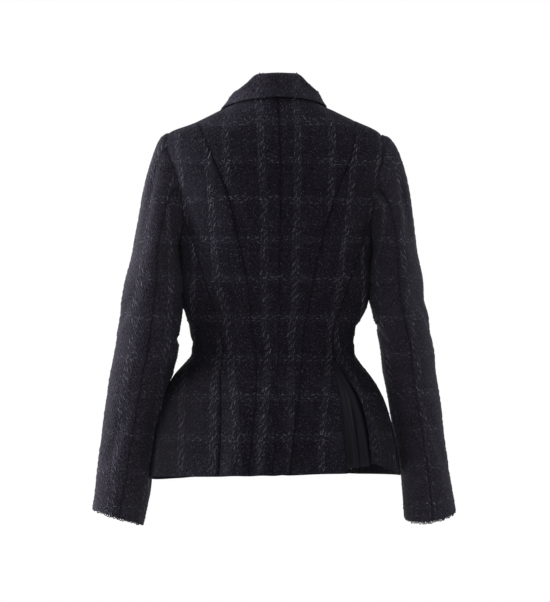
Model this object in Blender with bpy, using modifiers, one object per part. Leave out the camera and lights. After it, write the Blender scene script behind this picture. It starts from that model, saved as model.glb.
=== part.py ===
"""Fitted tweed suit jacket with a flared peplum, hollow, in the shape it has on a wearer.

Metres, +Z up. The wearer faces -Y, so the back is at +Y and the wearer's left is at +X.
The origin is on the shoulder line, midway between the two points where shoulder meets neck.
Every cloth piece is a thin wall on one body form, cut along the garment's seam lines.
"""

import math
from collections import namedtuple

import bmesh
import bpy
import numpy as np
from mathutils import Vector

# Cloth
WALL = 0.0024
INSERT_WALL = 0.0012
SEAM_GAP = 0.0003
BACK, FRONT = 1, -1

# Heights that drive the cut
NECK_BACK_Z = 0.012
PRINCESS_TOP_Z = -0.0288
PEPLUM_TOP_Z = -0.395
VENT_TOP_Z = -0.408
HEM_Z = -0.591

# Horizontal sections of the body form
FORM_COLUMNS = ("z", "half_width", "back_depth", "front_depth", "squareness")
FORM = (
    (0.040, 0.0580, 0.0480, 0.0460, 2.00),
    (0.012, 0.0640, 0.0555, 0.0520, 2.00),
    (0.000, 0.0680, 0.0610, 0.0560, 2.00),
    (-0.015, 0.0975, 0.0700, 0.0610, 2.05),
    (-0.0288, 0.1262, 0.0790, 0.0660, 2.10),
    (-0.0505, 0.1695, 0.0910, 0.0790, 2.20),
    (-0.072, 0.1775, 0.0985, 0.0890, 2.25),
    (-0.110, 0.1710, 0.1050, 0.1040, 2.30),
    (-0.173, 0.1610, 0.1080, 0.1240, 2.30),
    (-0.235, 0.1540, 0.1010, 0.1310, 2.20),
    (-0.300, 0.1522, 0.0860, 0.1180, 2.20),
    (-0.322, 0.1485, 0.0800, 0.1115, 2.15),
    (-0.348, 0.1388, 0.0740, 0.1042, 2.10),
    (-0.366, 0.1326, 0.0705, 0.0998, 2.10),
    (-0.389, 0.1304, 0.0680, 0.0960, 2.10),
    (-0.401, 0.1308, 0.0695, 0.0966, 2.10),
    (-0.4176, 0.1420, 0.0760, 0.0995, 2.10),
    (-0.432, 0.1550, 0.0840, 0.1040, 2.10),
    (-0.450, 0.1675, 0.0940, 0.1090, 2.10),
    (-0.475, 0.1790, 0.1050, 0.1150, 2.10),
    (-0.510, 0.1888, 0.1150, 0.1210, 2.05),
    (-0.553, 0.1972, 0.1240, 0.1260, 2.00),
    (-0.600, 0.2030, 0.1310, 0.1300, 2.00),
)

# Seam lines: distance from the middle at each height; the back seams differ from side to side and swing
# to the wearer's left below the waist, as the centre seam does
SEAM_COLUMNS = ("z", "x")
PAIR_COLUMNS = ("z", "left", "right")
CENTRE_SEAM = (
    (-0.300, 0.0000),
    (-0.352, -0.0030),
    (-0.400, -0.0028),
    (-0.450, -0.0006),
    (-0.482, 0.0030),
    (-0.510, 0.0055),
    (-0.553, 0.0100),
    (-0.600, 0.0150),
)
PRINCESS_SEAM = (
    (-0.0505, 0.1200, 0.1225),
    (-0.077, 0.1110, 0.1170),
    (-0.147, 0.0830, 0.0890),
    (-0.208, 0.0680, 0.0700),
    (-0.272, 0.0530, 0.0550),
    (-0.344, 0.0415, 0.0450),
    (-0.394, 0.0320, 0.0408),
    (-0.432, 0.0303, 0.0380),
    (-0.475, 0.0350, 0.0310),
    (-0.510, 0.0408, 0.0240),
    (-0.553, 0.0470, 0.0168),
    (-0.600, 0.0525, 0.0105),
)
SIDE_BACK_SEAM = (
    (-0.240, 0.1300, 0.1300),
    (-0.310, 0.1080, 0.1060),
    (-0.358, 0.0915, 0.0940),
    (-0.389, 0.0845, 0.0915),
    (-0.408, 0.0855, 0.0930),
    (-0.500, 0.0905, 0.0970),
    (-0.600, 0.0985, 0.1040),
)
SIDE_FRONT_SEAM = (
    (-0.240, 0.1340),
    (-0.300, 0.1240),
    (-0.389, 0.1050),
    (-0.450, 0.1300),
    (-0.600, 0.1480),
)
FRONT_EDGE = (
    (0.000, 0.0680),
    (-0.052, 0.0560),
    (-0.160, 0.0290),
    (-0.332, -0.0150),
    (-0.600, -0.0150),
)

# The vent in the right side-back seam: its two edges, apart below the waist
VENT_COLUMNS = ("z", "back_x", "side_x")
VENT = (
    (-0.404, 0.0925, 0.0925),
    (-0.432, 0.0965, 0.1115),
    (-0.475, 0.1005, 0.1325),
    (-0.510, 0.1020, 0.1395),
    (-0.553, 0.1040, 0.1420),
    (-0.600, 0.1072, 0.1435),
)
VENT_FLARE = 0.007
VENT_HEM_LIFT = 0.0145
VENT_LIFT_FALL = 6

# Grid rows: steps down each panel above the waist shaping, then fixed heights
ARM_STEP = math.radians(15)
ARM_STEPS = 8
SEAM_STEPS = 5
UPPER_STEPS = ARM_STEPS + SEAM_STEPS
ROW_HEIGHTS = (
    -0.300, -0.332, -0.362, -0.389, -0.404, -0.4176, -0.432, -0.450, -0.475, -0.510, -0.550, HEM_Z,
)
NECK_STEPS = 6
SHOULDER_STEPS = 2
GORGE_STEPS = 4
SIDE_BACK_STEPS = 4
FRONT_STEPS = 8
GORGE_Z = -0.052

# Armhole
ARMHOLE_TOP_Z = -0.0528
UNDERARM_Z = -0.222
ARMHOLE_BACK_TURN = 0.22
ARMHOLE_FRONT_TURN = 0.26
ARMHOLE_LOW = 0.25

# Soft flutes that each peplum panel falls into: depth at the hem, number, share of the width they fill
FLUTES = {"back": (0.007, 1, 1.0), "side_back": (0.007, 1, 1.0), "front": (0.005, 2, 0.74)}

# Collar and lapels
COLLAR_COLUMNS = ("station", "stand", "upright", "lift")
COLLAR = (
    (0, 0.0270, 0.70, 0.0034),
    (2, 0.0266, 0.60, 0.0036),
    (3, 0.0158, 0.50, 0.0036),
    (4, 0.0092, 0.45, 0.0034),
    (6, 0.0045, 0.40, 0.0034),
    (8, 0.0035, 0.20, 0.0034),
    (10, 0.0020, 0.00, 0.0034),
)
COLLAR_EDGE_COLUMNS = ("turn", "z")
COLLAR_EDGE_BACK = ((0.0, 0.0060), (0.5, 0.0020), (1.0, -0.0075))
COLLAR_EDGE_FRONT = ((-0.0075, 0.0828), (-0.036, 0.0925), (-0.065, 0.0990))
COLLAR_NOTCH_DIP = (0.004, 0.0, -0.0125)
LAPEL_EDGE = (
    (-0.100, 0.1120),
    (-0.150, 0.1020),
    (-0.200, 0.0830),
    (-0.250, 0.0570),
    (-0.300, 0.0290),
    (-0.345, -0.0030),
)
FOLD_RADIUS_COLUMNS = ("z", "radius")
FOLD_RADIUS = ((0.050, 0.0040), (-0.052, 0.0036), (-0.200, 0.0024), (-0.340, 0.0016))
LAPEL_STAND = 0.0020
STRIP_OFFSET = 0.0013
GORGE_GAP = 0.0006
FALL_STEPS = 5
LAPEL_LIFT = WALL / 2 + 0.0022

# The hem falls lower at the front
FRONT_DROP = 0.0095

# The right front laps over the left one
LAP_LIFT = WALL + 0.0012
LAP_START_X = 0.045
LAP_FULL_X = 0.020

# Sleeves: sections along the arm, then the cap that joins them to the armhole
SLEEVE_COLUMNS = ("z", "x", "half_across", "half_deep", "y")
SLEEVE = (
    (-0.245, 0.1912, 0.0385, 0.0560, 0.002),
    (-0.300, 0.1938, 0.0470, 0.0525, 0.003),
    (-0.341, 0.2005, 0.0460, 0.0495, 0.003),
    (-0.4176, 0.2130, 0.0462, 0.0465, -0.003),
    (-0.500, 0.2262, 0.0447, 0.0440, -0.014),
    (-0.597, 0.2412, 0.0420, 0.0410, -0.028),
    (-0.6595, 0.2510, 0.0410, 0.0395, -0.040),
)
CAP_STEPS = 8
SLEEVE_STEPS = 14
REACH_HEIGHTS = (-0.325, -0.372, -0.430, -0.560)
CAP_START = 0.006
UNDERARM_SPRING = 2.4
UNDERARM_FROM = 0.3
CAP_END = 0.17
SLEEVE_CLEARANCE = 0.0014
ARMHOLE_GAP = 0.0007
RING_POINTS = 24
HIND_SEAM = 6
FORE_SEAM = 17

# Insert
INSERT_STEPS = 18
INSERT_FOLDS = 3
INSERT_FOLD_DEPTH = 0.010
INSERT_TUCK_BACK = 0.007
INSERT_TUCK_SIDE = (0.006, 0.022)
INSERT_CLEARANCE = WALL + 0.0005
INSERT_HEM_Z = -0.5825
INSERT_HEM_LIFT = 0.009

# Buttons
BUTTON_HEIGHTS = (-0.368, -0.418, -0.468)
BUTTON_RADIUS = 0.0105
BUTTON_THICKNESS = 0.0045
BUTTON_BEVEL = 0.0014
BUTTON_SHANK = 0.0010

# The garment hangs a little off level: slope of each height across the body, and its sideways sway
TILT_COLUMNS = ("z", "slope", "sway")
TILT = (
    (0.060, -0.012, 0.0),
    (-0.0288, -0.013, 0.0),
    (-0.060, 0.011, 0.0),
    (-0.110, 0.012, 0.0),
    (-0.250, 0.002, 0.0),
    (-0.330, 0.001, 0.0),
    (-0.366, 0.000, 0.0040),
    (-0.399, 0.000, 0.0028),
    (-0.432, -0.002, 0.0048),
    (-0.480, -0.005, 0.0030),
    (-0.600, -0.020, 0.0),
    (-0.680, 0.002, 0.0),
)

# Finishes: colour, roughness
TWEED = ((0.016, 0.015, 0.021, 1.0), 0.92)
SMOOTH_CLOTH = ((0.010, 0.010, 0.013, 1.0), 0.55)
HORN = ((0.012, 0.011, 0.012, 1.0), 0.35)

# What differs from side to side; a sleeve's breadth is given above the cuff and at its end,
# its reach out from the body at the elbow and at the cuff, and its head's fullness and spring;
# drop_y is where the hem starts to fall towards the front and where it has fallen
Side = namedtuple(
    "Side", "name sign vented laps_over lapel_steps breadth reach head cuff_rise cuff_drop drop_y"
)
SIDES = (
    Side(
        "left", 1, False, False, 5,
        breadth=(1.08, 1.06), reach=(-0.0068, -0.0018), head=(0.125, 0.27),
        cuff_rise=0.0075, cuff_drop=-0.003, drop_y=(0.060, -0.070),
    ),
    Side(
        "right", -1, True, True, 8,
        breadth=(0.915, 1.04), reach=(0.0060, 0.0030), head=(0.200, 0.18),
        cuff_rise=0.000, cuff_drop=0.005, drop_y=(0.085, 0.000),
    ),
)


# Curves and tables


def smooth(knots, values, at):
    """Cubic through the knots that never overshoots them, held level past both ends."""
    order = np.argsort(knots)
    knots = np.asarray(knots, float)[order]
    values = np.asarray(values, float)[order]
    step = np.diff(knots)
    slope = np.diff(values) / step
    tangent = np.zeros_like(values)
    tangent[0], tangent[-1] = slope[0], slope[-1]
    same_way = slope[:-1] * slope[1:] > 0
    before = 2 * step[1:] + step[:-1]
    after = step[1:] + 2 * step[:-1]
    safe = [np.where(same_way, part, 1.0) for part in (slope[:-1], slope[1:])]
    tangent[1:-1] = np.where(same_way, (before + after) / (before / safe[0] + after / safe[1]), 0.0)
    at = np.clip(np.asarray(at, float), knots[0], knots[-1])
    span = np.clip(np.searchsorted(knots, at) - 1, 0, len(step) - 1)
    t = (at - knots[span]) / step[span]
    rise = values[span + 1] - values[span]
    share = t * t * (3 - 2 * t)
    return (
        values[span]
        + rise * share
        + step[span] * (tangent[span] * t * (1 - t) ** 2 - tangent[span + 1] * t * t * (1 - t))
    )


def read(table, columns, name, at):
    rows = np.array(table)
    return smooth(rows[:, 0], rows[:, columns.index(name)], at)


def ease(value, start, end):
    """0 before start, 1 past end, smooth between."""
    t = np.clip((np.asarray(value) - start) / (end - start), 0.0, 1.0)
    return t * t * (3 - 2 * t)


def mix(a, b, share):
    return a + (b - a) * share


def unit(vectors):
    return vectors / np.linalg.norm(vectors, axis=-1, keepdims=True)


def evenly(points, steps):
    """The same line, with equal steps along its length."""
    length = np.concatenate([[0.0], np.cumsum(np.linalg.norm(np.diff(points, axis=0), axis=1))])
    wanted = np.linspace(0.0, length[-1], steps + 1)
    return np.stack([np.interp(wanted, length, points[:, i]) for i in range(3)], axis=1)


# The body form: superellipse sections; a turn of 0 is the middle back, 1 the side, 2 the middle front


def form_sizes(z):
    return [read(FORM, FORM_COLUMNS, name, z) for name in FORM_COLUMNS[1:]]


def on_form(turn, z):
    turn, z = np.broadcast_arrays(np.asarray(turn, float), np.asarray(z, float))
    half_width, back, front, squareness = form_sizes(z)
    across = np.sin(turn * math.pi / 2)
    along = np.cos(turn * math.pi / 2)
    depth = np.where(along >= 0, back, front)
    power = 2 / squareness
    x = half_width * np.sign(across) * np.abs(across) ** power
    y = depth * np.sign(along) * np.abs(along) ** power
    return np.stack([x, y, z], axis=-1)


def turn_at(x, z, face):
    half_width, _, _, squareness = form_sizes(z)
    share = np.clip(np.abs(x) / half_width, 0.0, 1.0)
    quarter = np.sign(x) * np.arcsin(share ** (squareness / 2)) * 2 / math.pi
    return np.where(face > 0, quarter, 2 - quarter)


def turn_of(points):
    face = np.where(points[..., 1] >= 0, BACK, FRONT)
    return turn_at(points[..., 0], points[..., 2], face)


def level(points):
    half_width, back, front, squareness = form_sizes(points[..., 2])
    depth = np.where(points[..., 1] >= 0, back, front)
    across = (np.abs(points[..., 0]) / half_width) ** squareness
    along = (np.abs(points[..., 1]) / depth) ** squareness
    return across + along - 1


def gradient(points):
    small = 1e-5
    parts = []
    for axis in np.eye(3) * small:
        parts.append((level(points + axis) - level(points - axis)) / (2 * small))
    return np.stack(parts, axis=-1)


def normals(points):
    return unit(gradient(points))


def settle(points):
    """Moves points straight onto the form."""
    for _ in range(8):
        slope = gradient(points)
        points = points - (level(points) / np.sum(slope * slope, axis=-1))[..., None] * slope
    return points


# Seam lines on the left side, as rows of points from top to hem


def trace(seam, face, top_z, bottom_z):
    """Points along a seam, close together near the top, where the shoulder rounds over."""
    z = mix(top_z, bottom_z, np.linspace(0.0, 1.0, 240) ** 2)
    return on_form(turn_at(read(seam, SEAM_COLUMNS, "x", z), z, face), z)


def lower_line(table, columns, name, face):
    z = np.array(ROW_HEIGHTS[1:])
    return on_form(turn_at(read(table, columns, name, z), z, face), z)


def armhole(angles, face):
    """The armhole from its top (angle 0) down its back or front to the underarm (half a turn)."""
    middle = (ARMHOLE_TOP_Z + UNDERARM_Z) / 2
    half = (ARMHOLE_TOP_Z - UNDERARM_Z) / 2
    reach = ARMHOLE_BACK_TURN if face == BACK else ARMHOLE_FRONT_TURN
    spread = reach * np.sin(angles) * (1 - ARMHOLE_LOW * np.cos(angles))
    return on_form(1 - face * spread, middle + half * np.cos(angles))


def of_side(seam, side):
    """One side's seam, from a table with a column for each side."""
    return tuple((row[0], row[PAIR_COLUMNS.index(side.name)]) for row in seam)


def centre_back_line(side):
    z = np.concatenate([np.linspace(NECK_BACK_Z, ROW_HEIGHTS[0], UPPER_STEPS + 1), ROW_HEIGHTS[1:]])
    return on_form(turn_at(side.sign * read(CENTRE_SEAM, SEAM_COLUMNS, "x", z), z, BACK), z)


def princess_line(side):
    top_x = float(form_sizes(PRINCESS_TOP_Z)[0])
    seam = ((PRINCESS_TOP_Z, top_x),) + of_side(PRINCESS_SEAM, side)
    upper = evenly(trace(seam, BACK, PRINCESS_TOP_Z, ROW_HEIGHTS[0]), UPPER_STEPS)
    return np.concatenate([settle(upper), lower_line(seam, SEAM_COLUMNS, "x", BACK)])


def side_line(seam, face, vent_edge=None):
    """Armhole edge, then the seam that leaves it; below the waist it may follow an edge of the vent."""
    arm = armhole(ARM_STEP * np.arange(ARM_STEPS + 1), face)
    start = arm[-1]
    seam = ((start[2], start[0]),) + seam
    upper = evenly(trace(seam, face, start[2], ROW_HEIGHTS[0]), SEAM_STEPS)
    lower = lower_line(seam, SEAM_COLUMNS, "x", face)
    if vent_edge:
        vented = np.array(ROW_HEIGHTS[1:]) < VENT_TOP_Z
        lower[vented] = lower_line(VENT, VENT_COLUMNS, vent_edge, face)[vented]
    return np.concatenate([arm, settle(upper[1:]), lower])


def front_edge_line():
    collar_part = evenly(trace(FRONT_EDGE, FRONT, 0.0, GORGE_Z), GORGE_STEPS)
    lapel_part = evenly(trace(FRONT_EDGE, FRONT, GORGE_Z, ROW_HEIGHTS[0]), UPPER_STEPS - GORGE_STEPS)
    lower = lower_line(FRONT_EDGE, SEAM_COLUMNS, "x", FRONT)
    return np.concatenate([settle(collar_part), settle(lapel_part[1:]), lower])


def neckline():
    turn = np.linspace(0.0, 1.0, NECK_STEPS + 1)
    return on_form(turn, NECK_BACK_Z * np.cos(turn * math.pi / 2))


def shoulder(from_z, to_z, steps):
    return on_form(1.0, np.linspace(from_z, to_z, steps + 1))


# Panels


def patch(top, bottom, left, right):
    """Fills four edges that share their corners and lays the inside on the form."""
    down = np.linspace(0.0, 1.0, len(left))[:, None, None]
    across = np.linspace(0.0, 1.0, len(top))[None, :, None]
    between_ends = mix(top[None], bottom[None], down)
    between_sides = mix(left[:, None], right[:, None], across)
    corners = mix(mix(top[0], top[-1], across), mix(bottom[0], bottom[-1], across), down)
    grid = settle(between_ends + between_sides - corners)
    grid[0], grid[-1], grid[:, 0], grid[:, -1] = top, bottom, left, right
    return grid


def lower_rows(left, right, steps):
    share = np.linspace(0.0, 1.0, steps + 1)
    turn = mix(turn_of(left)[:, None], turn_of(right)[:, None], share)
    z = mix(left[:, 2:], right[:, 2:], share)
    return on_form(turn, z)


def panel(top, left, right, upper_steps):
    """Grid of a panel, rows from its top edge to the hem, columns from its left to its right edge."""
    below = lower_rows(left[upper_steps:], right[upper_steps:], len(top) - 1)
    above = patch(top, below[0], left[: upper_steps + 1], right[: upper_steps + 1])
    return np.concatenate([above, below[1:]])


def part_seams(grid, edges):
    """Draws the named edges in by half a seam gap."""
    moved = grid.copy()
    pairs = {"top": (0, 1, 0), "bottom": (-1, -2, 0), "left": (0, 1, 1), "right": (-1, -2, 1)}
    for edge in edges:
        at, inside, axis = pairs[edge]
        here, there = np.take(grid, at, axis), np.take(grid, inside, axis)
        run = unit(np.gradient(here, axis=0))
        inwards = there - here
        shift = unit(inwards - run * np.sum(inwards * run, axis=-1, keepdims=True)) * SEAM_GAP / 2
        if axis == 0:
            moved[at] += shift
        else:
            moved[:, at] += shift
    return moved


def fluted(grid, name):
    """Lets a peplum panel swing out between its seams."""
    depth, waves, span = FLUTES[name]
    share = np.clip(np.linspace(0.0, 1.0 / span, grid.shape[1]), 0.0, 1.0)
    swell = ease(-grid[..., 2], -PEPLUM_TOP_Z, -HEM_Z) * np.sin(math.pi * waves * share) ** 2
    return grid + normals(grid) * (depth * swell)[..., None]


def back_panel(side):
    left = centre_back_line(side)
    right = princess_line(side)
    top = np.concatenate([neckline(), shoulder(0.0, PRINCESS_TOP_Z, SHOULDER_STEPS)[1:]])
    grid = panel(top, left, right, UPPER_STEPS)
    return fluted(part_seams(grid, ("top", "left", "right")), "back")


def side_back_panel(side):
    left = princess_line(side)
    right = side_line(of_side(SIDE_BACK_SEAM, side), BACK, "back_x" if side.vented else None)
    top = shoulder(PRINCESS_TOP_Z, ARMHOLE_TOP_Z, SIDE_BACK_STEPS)
    grid = panel(top, left, right, UPPER_STEPS)
    return fluted(part_seams(grid, ("top", "left", "right")), "side_back")


def side_panel(side):
    seam = of_side(SIDE_BACK_SEAM, side)
    left = side_line(seam, BACK, "side_x" if side.vented else None)[ARM_STEPS:]
    right = side_line(SIDE_FRONT_SEAM, FRONT)[ARM_STEPS:]
    half_turn = round(math.pi / ARM_STEP)
    angles = ARM_STEP * np.arange(ARM_STEPS, half_turn + 1)
    top = np.concatenate([armhole(angles, BACK), armhole(angles[::-1], FRONT)[1:]])
    grid = part_seams(panel(top, left, right, SEAM_STEPS), ("top", "left", "right"))
    if side.vented:
        grid = vent_edge_turned_out(grid)
    return dropped(grid, side)


def vent_edge_turned_out(grid):
    """The side panel's free edge stands away from the insert, and its hem rises there."""
    near_edge = np.linspace(1.0, 0.0, grid.shape[1])
    swing = ease(-grid[..., 2], -VENT_TOP_Z, -HEM_Z)
    grid = grid + normals(grid) * (VENT_FLARE * swing * near_edge**3)[..., None]
    grid[-1, :, 2] += VENT_HEM_LIFT * near_edge**VENT_LIFT_FALL
    return grid


def lapped(points):
    """Lifts the front that lies on top where it crosses the other one."""
    lift = LAP_LIFT * ease(-points[..., 0], -LAP_START_X, -LAP_FULL_X)
    return points + normals(points) * lift[..., None]


def dropped(grid, side):
    """Lets the peplum hang lower towards the front."""
    share = ease(-grid[..., 2], -PEPLUM_TOP_Z, -HEM_Z)
    share = share * (1 - ease(grid[..., 1], *reversed(side.drop_y)))
    lower = grid.copy()
    lower[..., 2] -= FRONT_DROP * share
    return lower


def front_panel(side):
    left = side_line(SIDE_FRONT_SEAM, FRONT)
    right = front_edge_line()
    top = shoulder(ARMHOLE_TOP_Z, 0.0, FRONT_STEPS)
    grid = panel(top, left, right, UPPER_STEPS)
    grid = fluted(part_seams(grid, ("top", "left")), "front")
    return dropped(lapped(grid) if side.laps_over else grid, side)


# Collar and lapels: strips that leave an edge, fold over and lie down


def edge_frame(line):
    """Surface normals along an edge line, and the way that leads off the panel."""
    out = normals(line)
    off = unit(np.cross(np.gradient(line, axis=0), out))
    return out, off


def folded_strip(base, out, off, stand, radius, edge, edge_height, lift):
    """Middle surface of a strip, one section per base point; lift moves a point that was laid on the form."""
    out = unit(out - off * np.sum(out * off, axis=-1, keepdims=True))
    start = base - out * WALL / 2
    top = start + off * stand[:, None]
    rows = [mix(start, top, share) for share in (0.0, 0.5, 1.0)]
    for angle in (math.pi / 4, math.pi / 2, 3 * math.pi / 4):
        turn = (1 - math.cos(angle)) * out + math.sin(angle) * off
        rows.append(top + radius[:, None] * turn)
    for share in np.linspace(0.0, 1.0, FALL_STEPS + 1):
        laid = lift(mix(base, edge, share), share)
        height = mix(2 * radius - WALL / 2, edge_height, share)[:, None]
        way = unit(mix(out, normals(laid), share))
        rows.append(laid + way * height + off * (stand * (1 - share))[:, None])
    return np.stack(rows, axis=1)


def grid_normals(grid):
    return unit(np.cross(np.gradient(grid, axis=0), np.gradient(grid, axis=1)))


def mirrored(points):
    return points * np.array([-1.0, 1.0, 1.0])


def collar_grid():
    """Half the collar from the middle back to its front end, then the whole."""
    line = np.concatenate([neckline(), front_edge_line()[1:]])
    out, off = edge_frame(line)
    count = NECK_STEPS + GORGE_STEPS + 1
    stations = np.arange(count)
    upright = read(COLLAR, COLLAR_COLUMNS, "upright", stations)[:, None]
    base = line[:count] + off[:count] * STRIP_OFFSET
    base[-1] -= unit(line[count - 1] - line[count - 2]) * GORGE_GAP
    rising = unit(mix(off[:count], np.array([0.0, 0.0, 1.0]), upright))
    rising[0] = unit(rising[0] * np.array([0.0, 1.0, 1.0]))
    turn = np.linspace(0.0, 1.0, NECK_STEPS + 1)
    back_edge = on_form(turn, read(COLLAR_EDGE_BACK, COLLAR_EDGE_COLUMNS, "z", turn))
    front_z = [row[0] for row in COLLAR_EDGE_FRONT]
    front_edge = evenly(trace(COLLAR_EDGE_FRONT, FRONT, front_z[0], front_z[-1]), GORGE_STEPS)
    edge = np.concatenate([back_edge, settle(front_edge[1:])])
    stand, lift = (read(COLLAR, COLLAR_COLUMNS, name, stations) for name in ("stand", "lift"))
    radius = read(FOLD_RADIUS, FOLD_RADIUS_COLUMNS, "radius", base[:, 2])
    at_end = (stations == stations[-1])[:, None] * np.array(COLLAR_NOTCH_DIP)

    def dipped(points, share):
        return settle(points + at_end * math.sin(math.pi * share))

    half = folded_strip(base, out[:count], rising, stand, radius, edge, lift, dipped)
    return np.concatenate([mirrored(half[:0:-1]), half])


def lapel_grid(side):
    line = front_edge_line()
    out, off = edge_frame(np.concatenate([neckline()[:-1], line]))
    rows = slice(GORGE_STEPS, GORGE_STEPS + side.lapel_steps + 1)
    out, off = out[NECK_STEPS:][rows], off[NECK_STEPS:][rows]

    def laid(points, _share=0.0):
        return lapped(settle(points)) if side.laps_over else settle(points)

    base = laid(line[rows]) + off * STRIP_OFFSET
    base[0] += unit(line[GORGE_STEPS + 1] - line[GORGE_STEPS]) * GORGE_GAP
    edge_z = [row[0] for row in LAPEL_EDGE]
    whole_steps = max(other.lapel_steps for other in SIDES)
    edge = evenly(trace(LAPEL_EDGE, FRONT, edge_z[0], edge_z[-1]), whole_steps)[: side.lapel_steps + 1]
    stand = np.full(len(base), LAPEL_STAND)
    radius = read(FOLD_RADIUS, FOLD_RADIUS_COLUMNS, "radius", base[:, 2])
    return folded_strip(base, out, off, stand, radius, settle(edge), LAPEL_LIFT, laid)


# Sleeves


def clear_of_body(points):
    """Presses the side of a sleeve that meets the body out to just clear of it."""
    slope = gradient(points)
    steepness = np.linalg.norm(slope, axis=-1)
    push = np.maximum(SLEEVE_CLEARANCE - level(points) / steepness, 0.0)
    return points + slope * (push / steepness)[..., None]


def sleeve_rings(side):
    """Rings of the left-hand sleeve shape, from the bicep to the cuff, with the breadth of this side."""
    z = np.linspace(SLEEVE[0][0], SLEEVE[-1][0], SLEEVE_STEPS + 1)
    x, across, deep, y = (read(SLEEVE, SLEEVE_COLUMNS, name, z) for name in SLEEVE_COLUMNS[1:])
    own = ease(-z, -SLEEVE[0][0], -SLEEVE[2][0])
    breadth = np.interp(-z, (-SLEEVE[-2][0], -SLEEVE[-1][0]), side.breadth)
    across = across * mix(1.0, breadth, own)
    deep = deep * mix(1.0, 2 - breadth, own)
    elbow, cuff = side.reach
    reach = smooth(REACH_HEIGHTS, (0.0, elbow, elbow, cuff), z)
    middle = np.stack([x + reach, y, z], axis=1)
    along = unit(np.gradient(middle, axis=0))
    outward = unit(np.cross(np.array([0.0, 1.0, 0.0]), along) * -1)
    backward = unit(np.cross(along, outward))
    backward *= np.sign(backward[:, 1:2])
    angle = np.arange(RING_POINTS) * 2 * math.pi / RING_POINTS
    ring = across[:, None, None] * np.cos(angle)[None, :, None] * outward[:, None]
    ring = ring + deep[:, None, None] * np.sin(angle)[None, :, None] * backward[:, None]
    rise = side.cuff_rise * np.cos(angle) - side.cuff_drop * np.sin(angle)
    at_cuff = ease(-z, -SLEEVE[-2][0], -SLEEVE[-1][0])
    ring = ring - (at_cuff[:, None] * rise)[..., None] * along[:, None]
    return clear_of_body(middle[:, None] + ring)


def sleeve_grid(side):
    """Whole sleeve: rows from the armhole to the cuff, columns round the arm from its outer side."""
    tube = sleeve_rings(side)
    half = RING_POINTS // 2
    angles = np.arange(half + 1) * math.pi / half
    seam = np.concatenate([armhole(angles, BACK), armhole(angles[::-1], FRONT)[1:-1]])
    centre = seam.mean(axis=0)
    radial = unit((seam - centre) * np.array([0.0, 1.0, 1.0]))
    head, spring = side.head
    spring = mix(spring, UNDERARM_SPRING, ease(-radial[:, 2:], UNDERARM_FROM, 1.0))
    leaving = unit(np.array([1.0, 0.0, 0.0]) + spring * radial)
    seam = seam + leaving * ARMHOLE_GAP
    reach = np.linalg.norm(tube[0] - seam, axis=1)[:, None]
    first = seam + leaving * (CAP_START + head * reach)
    last = tube[0] - unit(tube[1] - tube[0]) * CAP_END * reach
    rows = []
    for t in np.linspace(0.0, 1.0, CAP_STEPS + 1)[:-1]:
        rows.append(
            (1 - t) ** 3 * seam + 3 * (1 - t) ** 2 * t * first + 3 * (1 - t) * t**2 * last + t**3 * tube[0]
        )
    return np.concatenate([np.array(rows), tube])


def sleeve_piece(grid, first, last):
    """The columns from one seam round to the other."""
    columns = np.arange(first, last + 1) % RING_POINTS
    return part_seams(grid[:, columns], ("left", "right"))


# Insert and buttons


def insert_grid():
    """Pleated cloth that fills the open vent, tucked behind the edges of both panels."""
    z = np.array([height for height in ROW_HEIGHTS if height < VENT_TOP_Z])
    z[-1] = INSERT_HEM_Z
    opening = ease(-z, -VENT_TOP_Z, -HEM_Z)
    back_x = read(VENT, VENT_COLUMNS, "back_x", z) - INSERT_TUCK_BACK
    side_x = read(VENT, VENT_COLUMNS, "side_x", z) + mix(*INSERT_TUCK_SIDE, opening)
    share = np.linspace(0.0, 1.0, INSERT_STEPS + 1)
    turn = mix(turn_at(back_x, z, BACK)[:, None], turn_at(side_x, z, BACK)[:, None], share)
    height = z[:, None] + INSERT_HEM_LIFT * opening[:, None] ** 2 * share**3
    grid = on_form(turn, height)
    fold = np.sin(math.pi * INSERT_FOLDS * share) ** 2
    depth = INSERT_CLEARANCE + INSERT_FOLD_DEPTH * opening[:, None] * fold
    return grid - normals(grid) * depth[..., None]


def button_place(front, z):
    """Point on the lapping front at the middle, and the way the button faces."""
    middle = np.array([[np.interp(0.0, row[::-1, 0], row[::-1, axis]) for axis in (1, 2)] for row in front])
    y = np.interp(-z, -middle[:, 1], middle[:, 0])
    point = np.array([0.0, y, z])
    return Vector(point), Vector(normals(point[None])[0])


# Making objects


def tilted(points):
    slope, sway = (read(TILT, TILT_COLUMNS, name, points[..., 2]) for name in TILT_COLUMNS[1:])
    moved = points.copy()
    moved[..., 2] += slope * points[..., 0]
    moved[..., 0] += sway
    return moved


def wall_object(name, outer, inner, material, collection):
    """Closed wall between two grids of the same shape."""
    rows, columns = outer.shape[:2]
    index = np.arange(rows * columns).reshape(rows, columns)
    below = index + rows * columns
    faces = []
    for layer in (index, below):
        corners = (layer[:-1, :-1], layer[1:, :-1], layer[1:, 1:], layer[:-1, 1:])
        faces.extend(np.stack([corner.ravel() for corner in corners], axis=1).tolist())
    points = np.concatenate([outer.reshape(-1, 3), inner.reshape(-1, 3)])
    rim = np.concatenate([index[0], index[1:, -1], index[-1, -2::-1], index[-2:0:-1, 0]])
    for pair in zip(np.roll(rim, 1), rim):
        lower, upper = sorted(pair, key=lambda point: points[point, 2])
        faces.append([upper, lower, lower + rows * columns])
        faces.append([upper, lower + rows * columns, upper + rows * columns])
    mesh = bpy.data.meshes.new(name)
    mesh.from_pydata(tilted(points).tolist(), [], [[int(i) for i in face] for face in faces])
    body = bmesh.new()
    body.from_mesh(mesh)
    bmesh.ops.recalc_face_normals(body, faces=body.faces)
    body.to_mesh(mesh)
    body.free()
    mesh.materials.append(material)
    mesh.shade_smooth()
    mesh.set_sharp_from_angle(angle=math.radians(40))
    collection.objects.link(bpy.data.objects.new(name, mesh))


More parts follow.
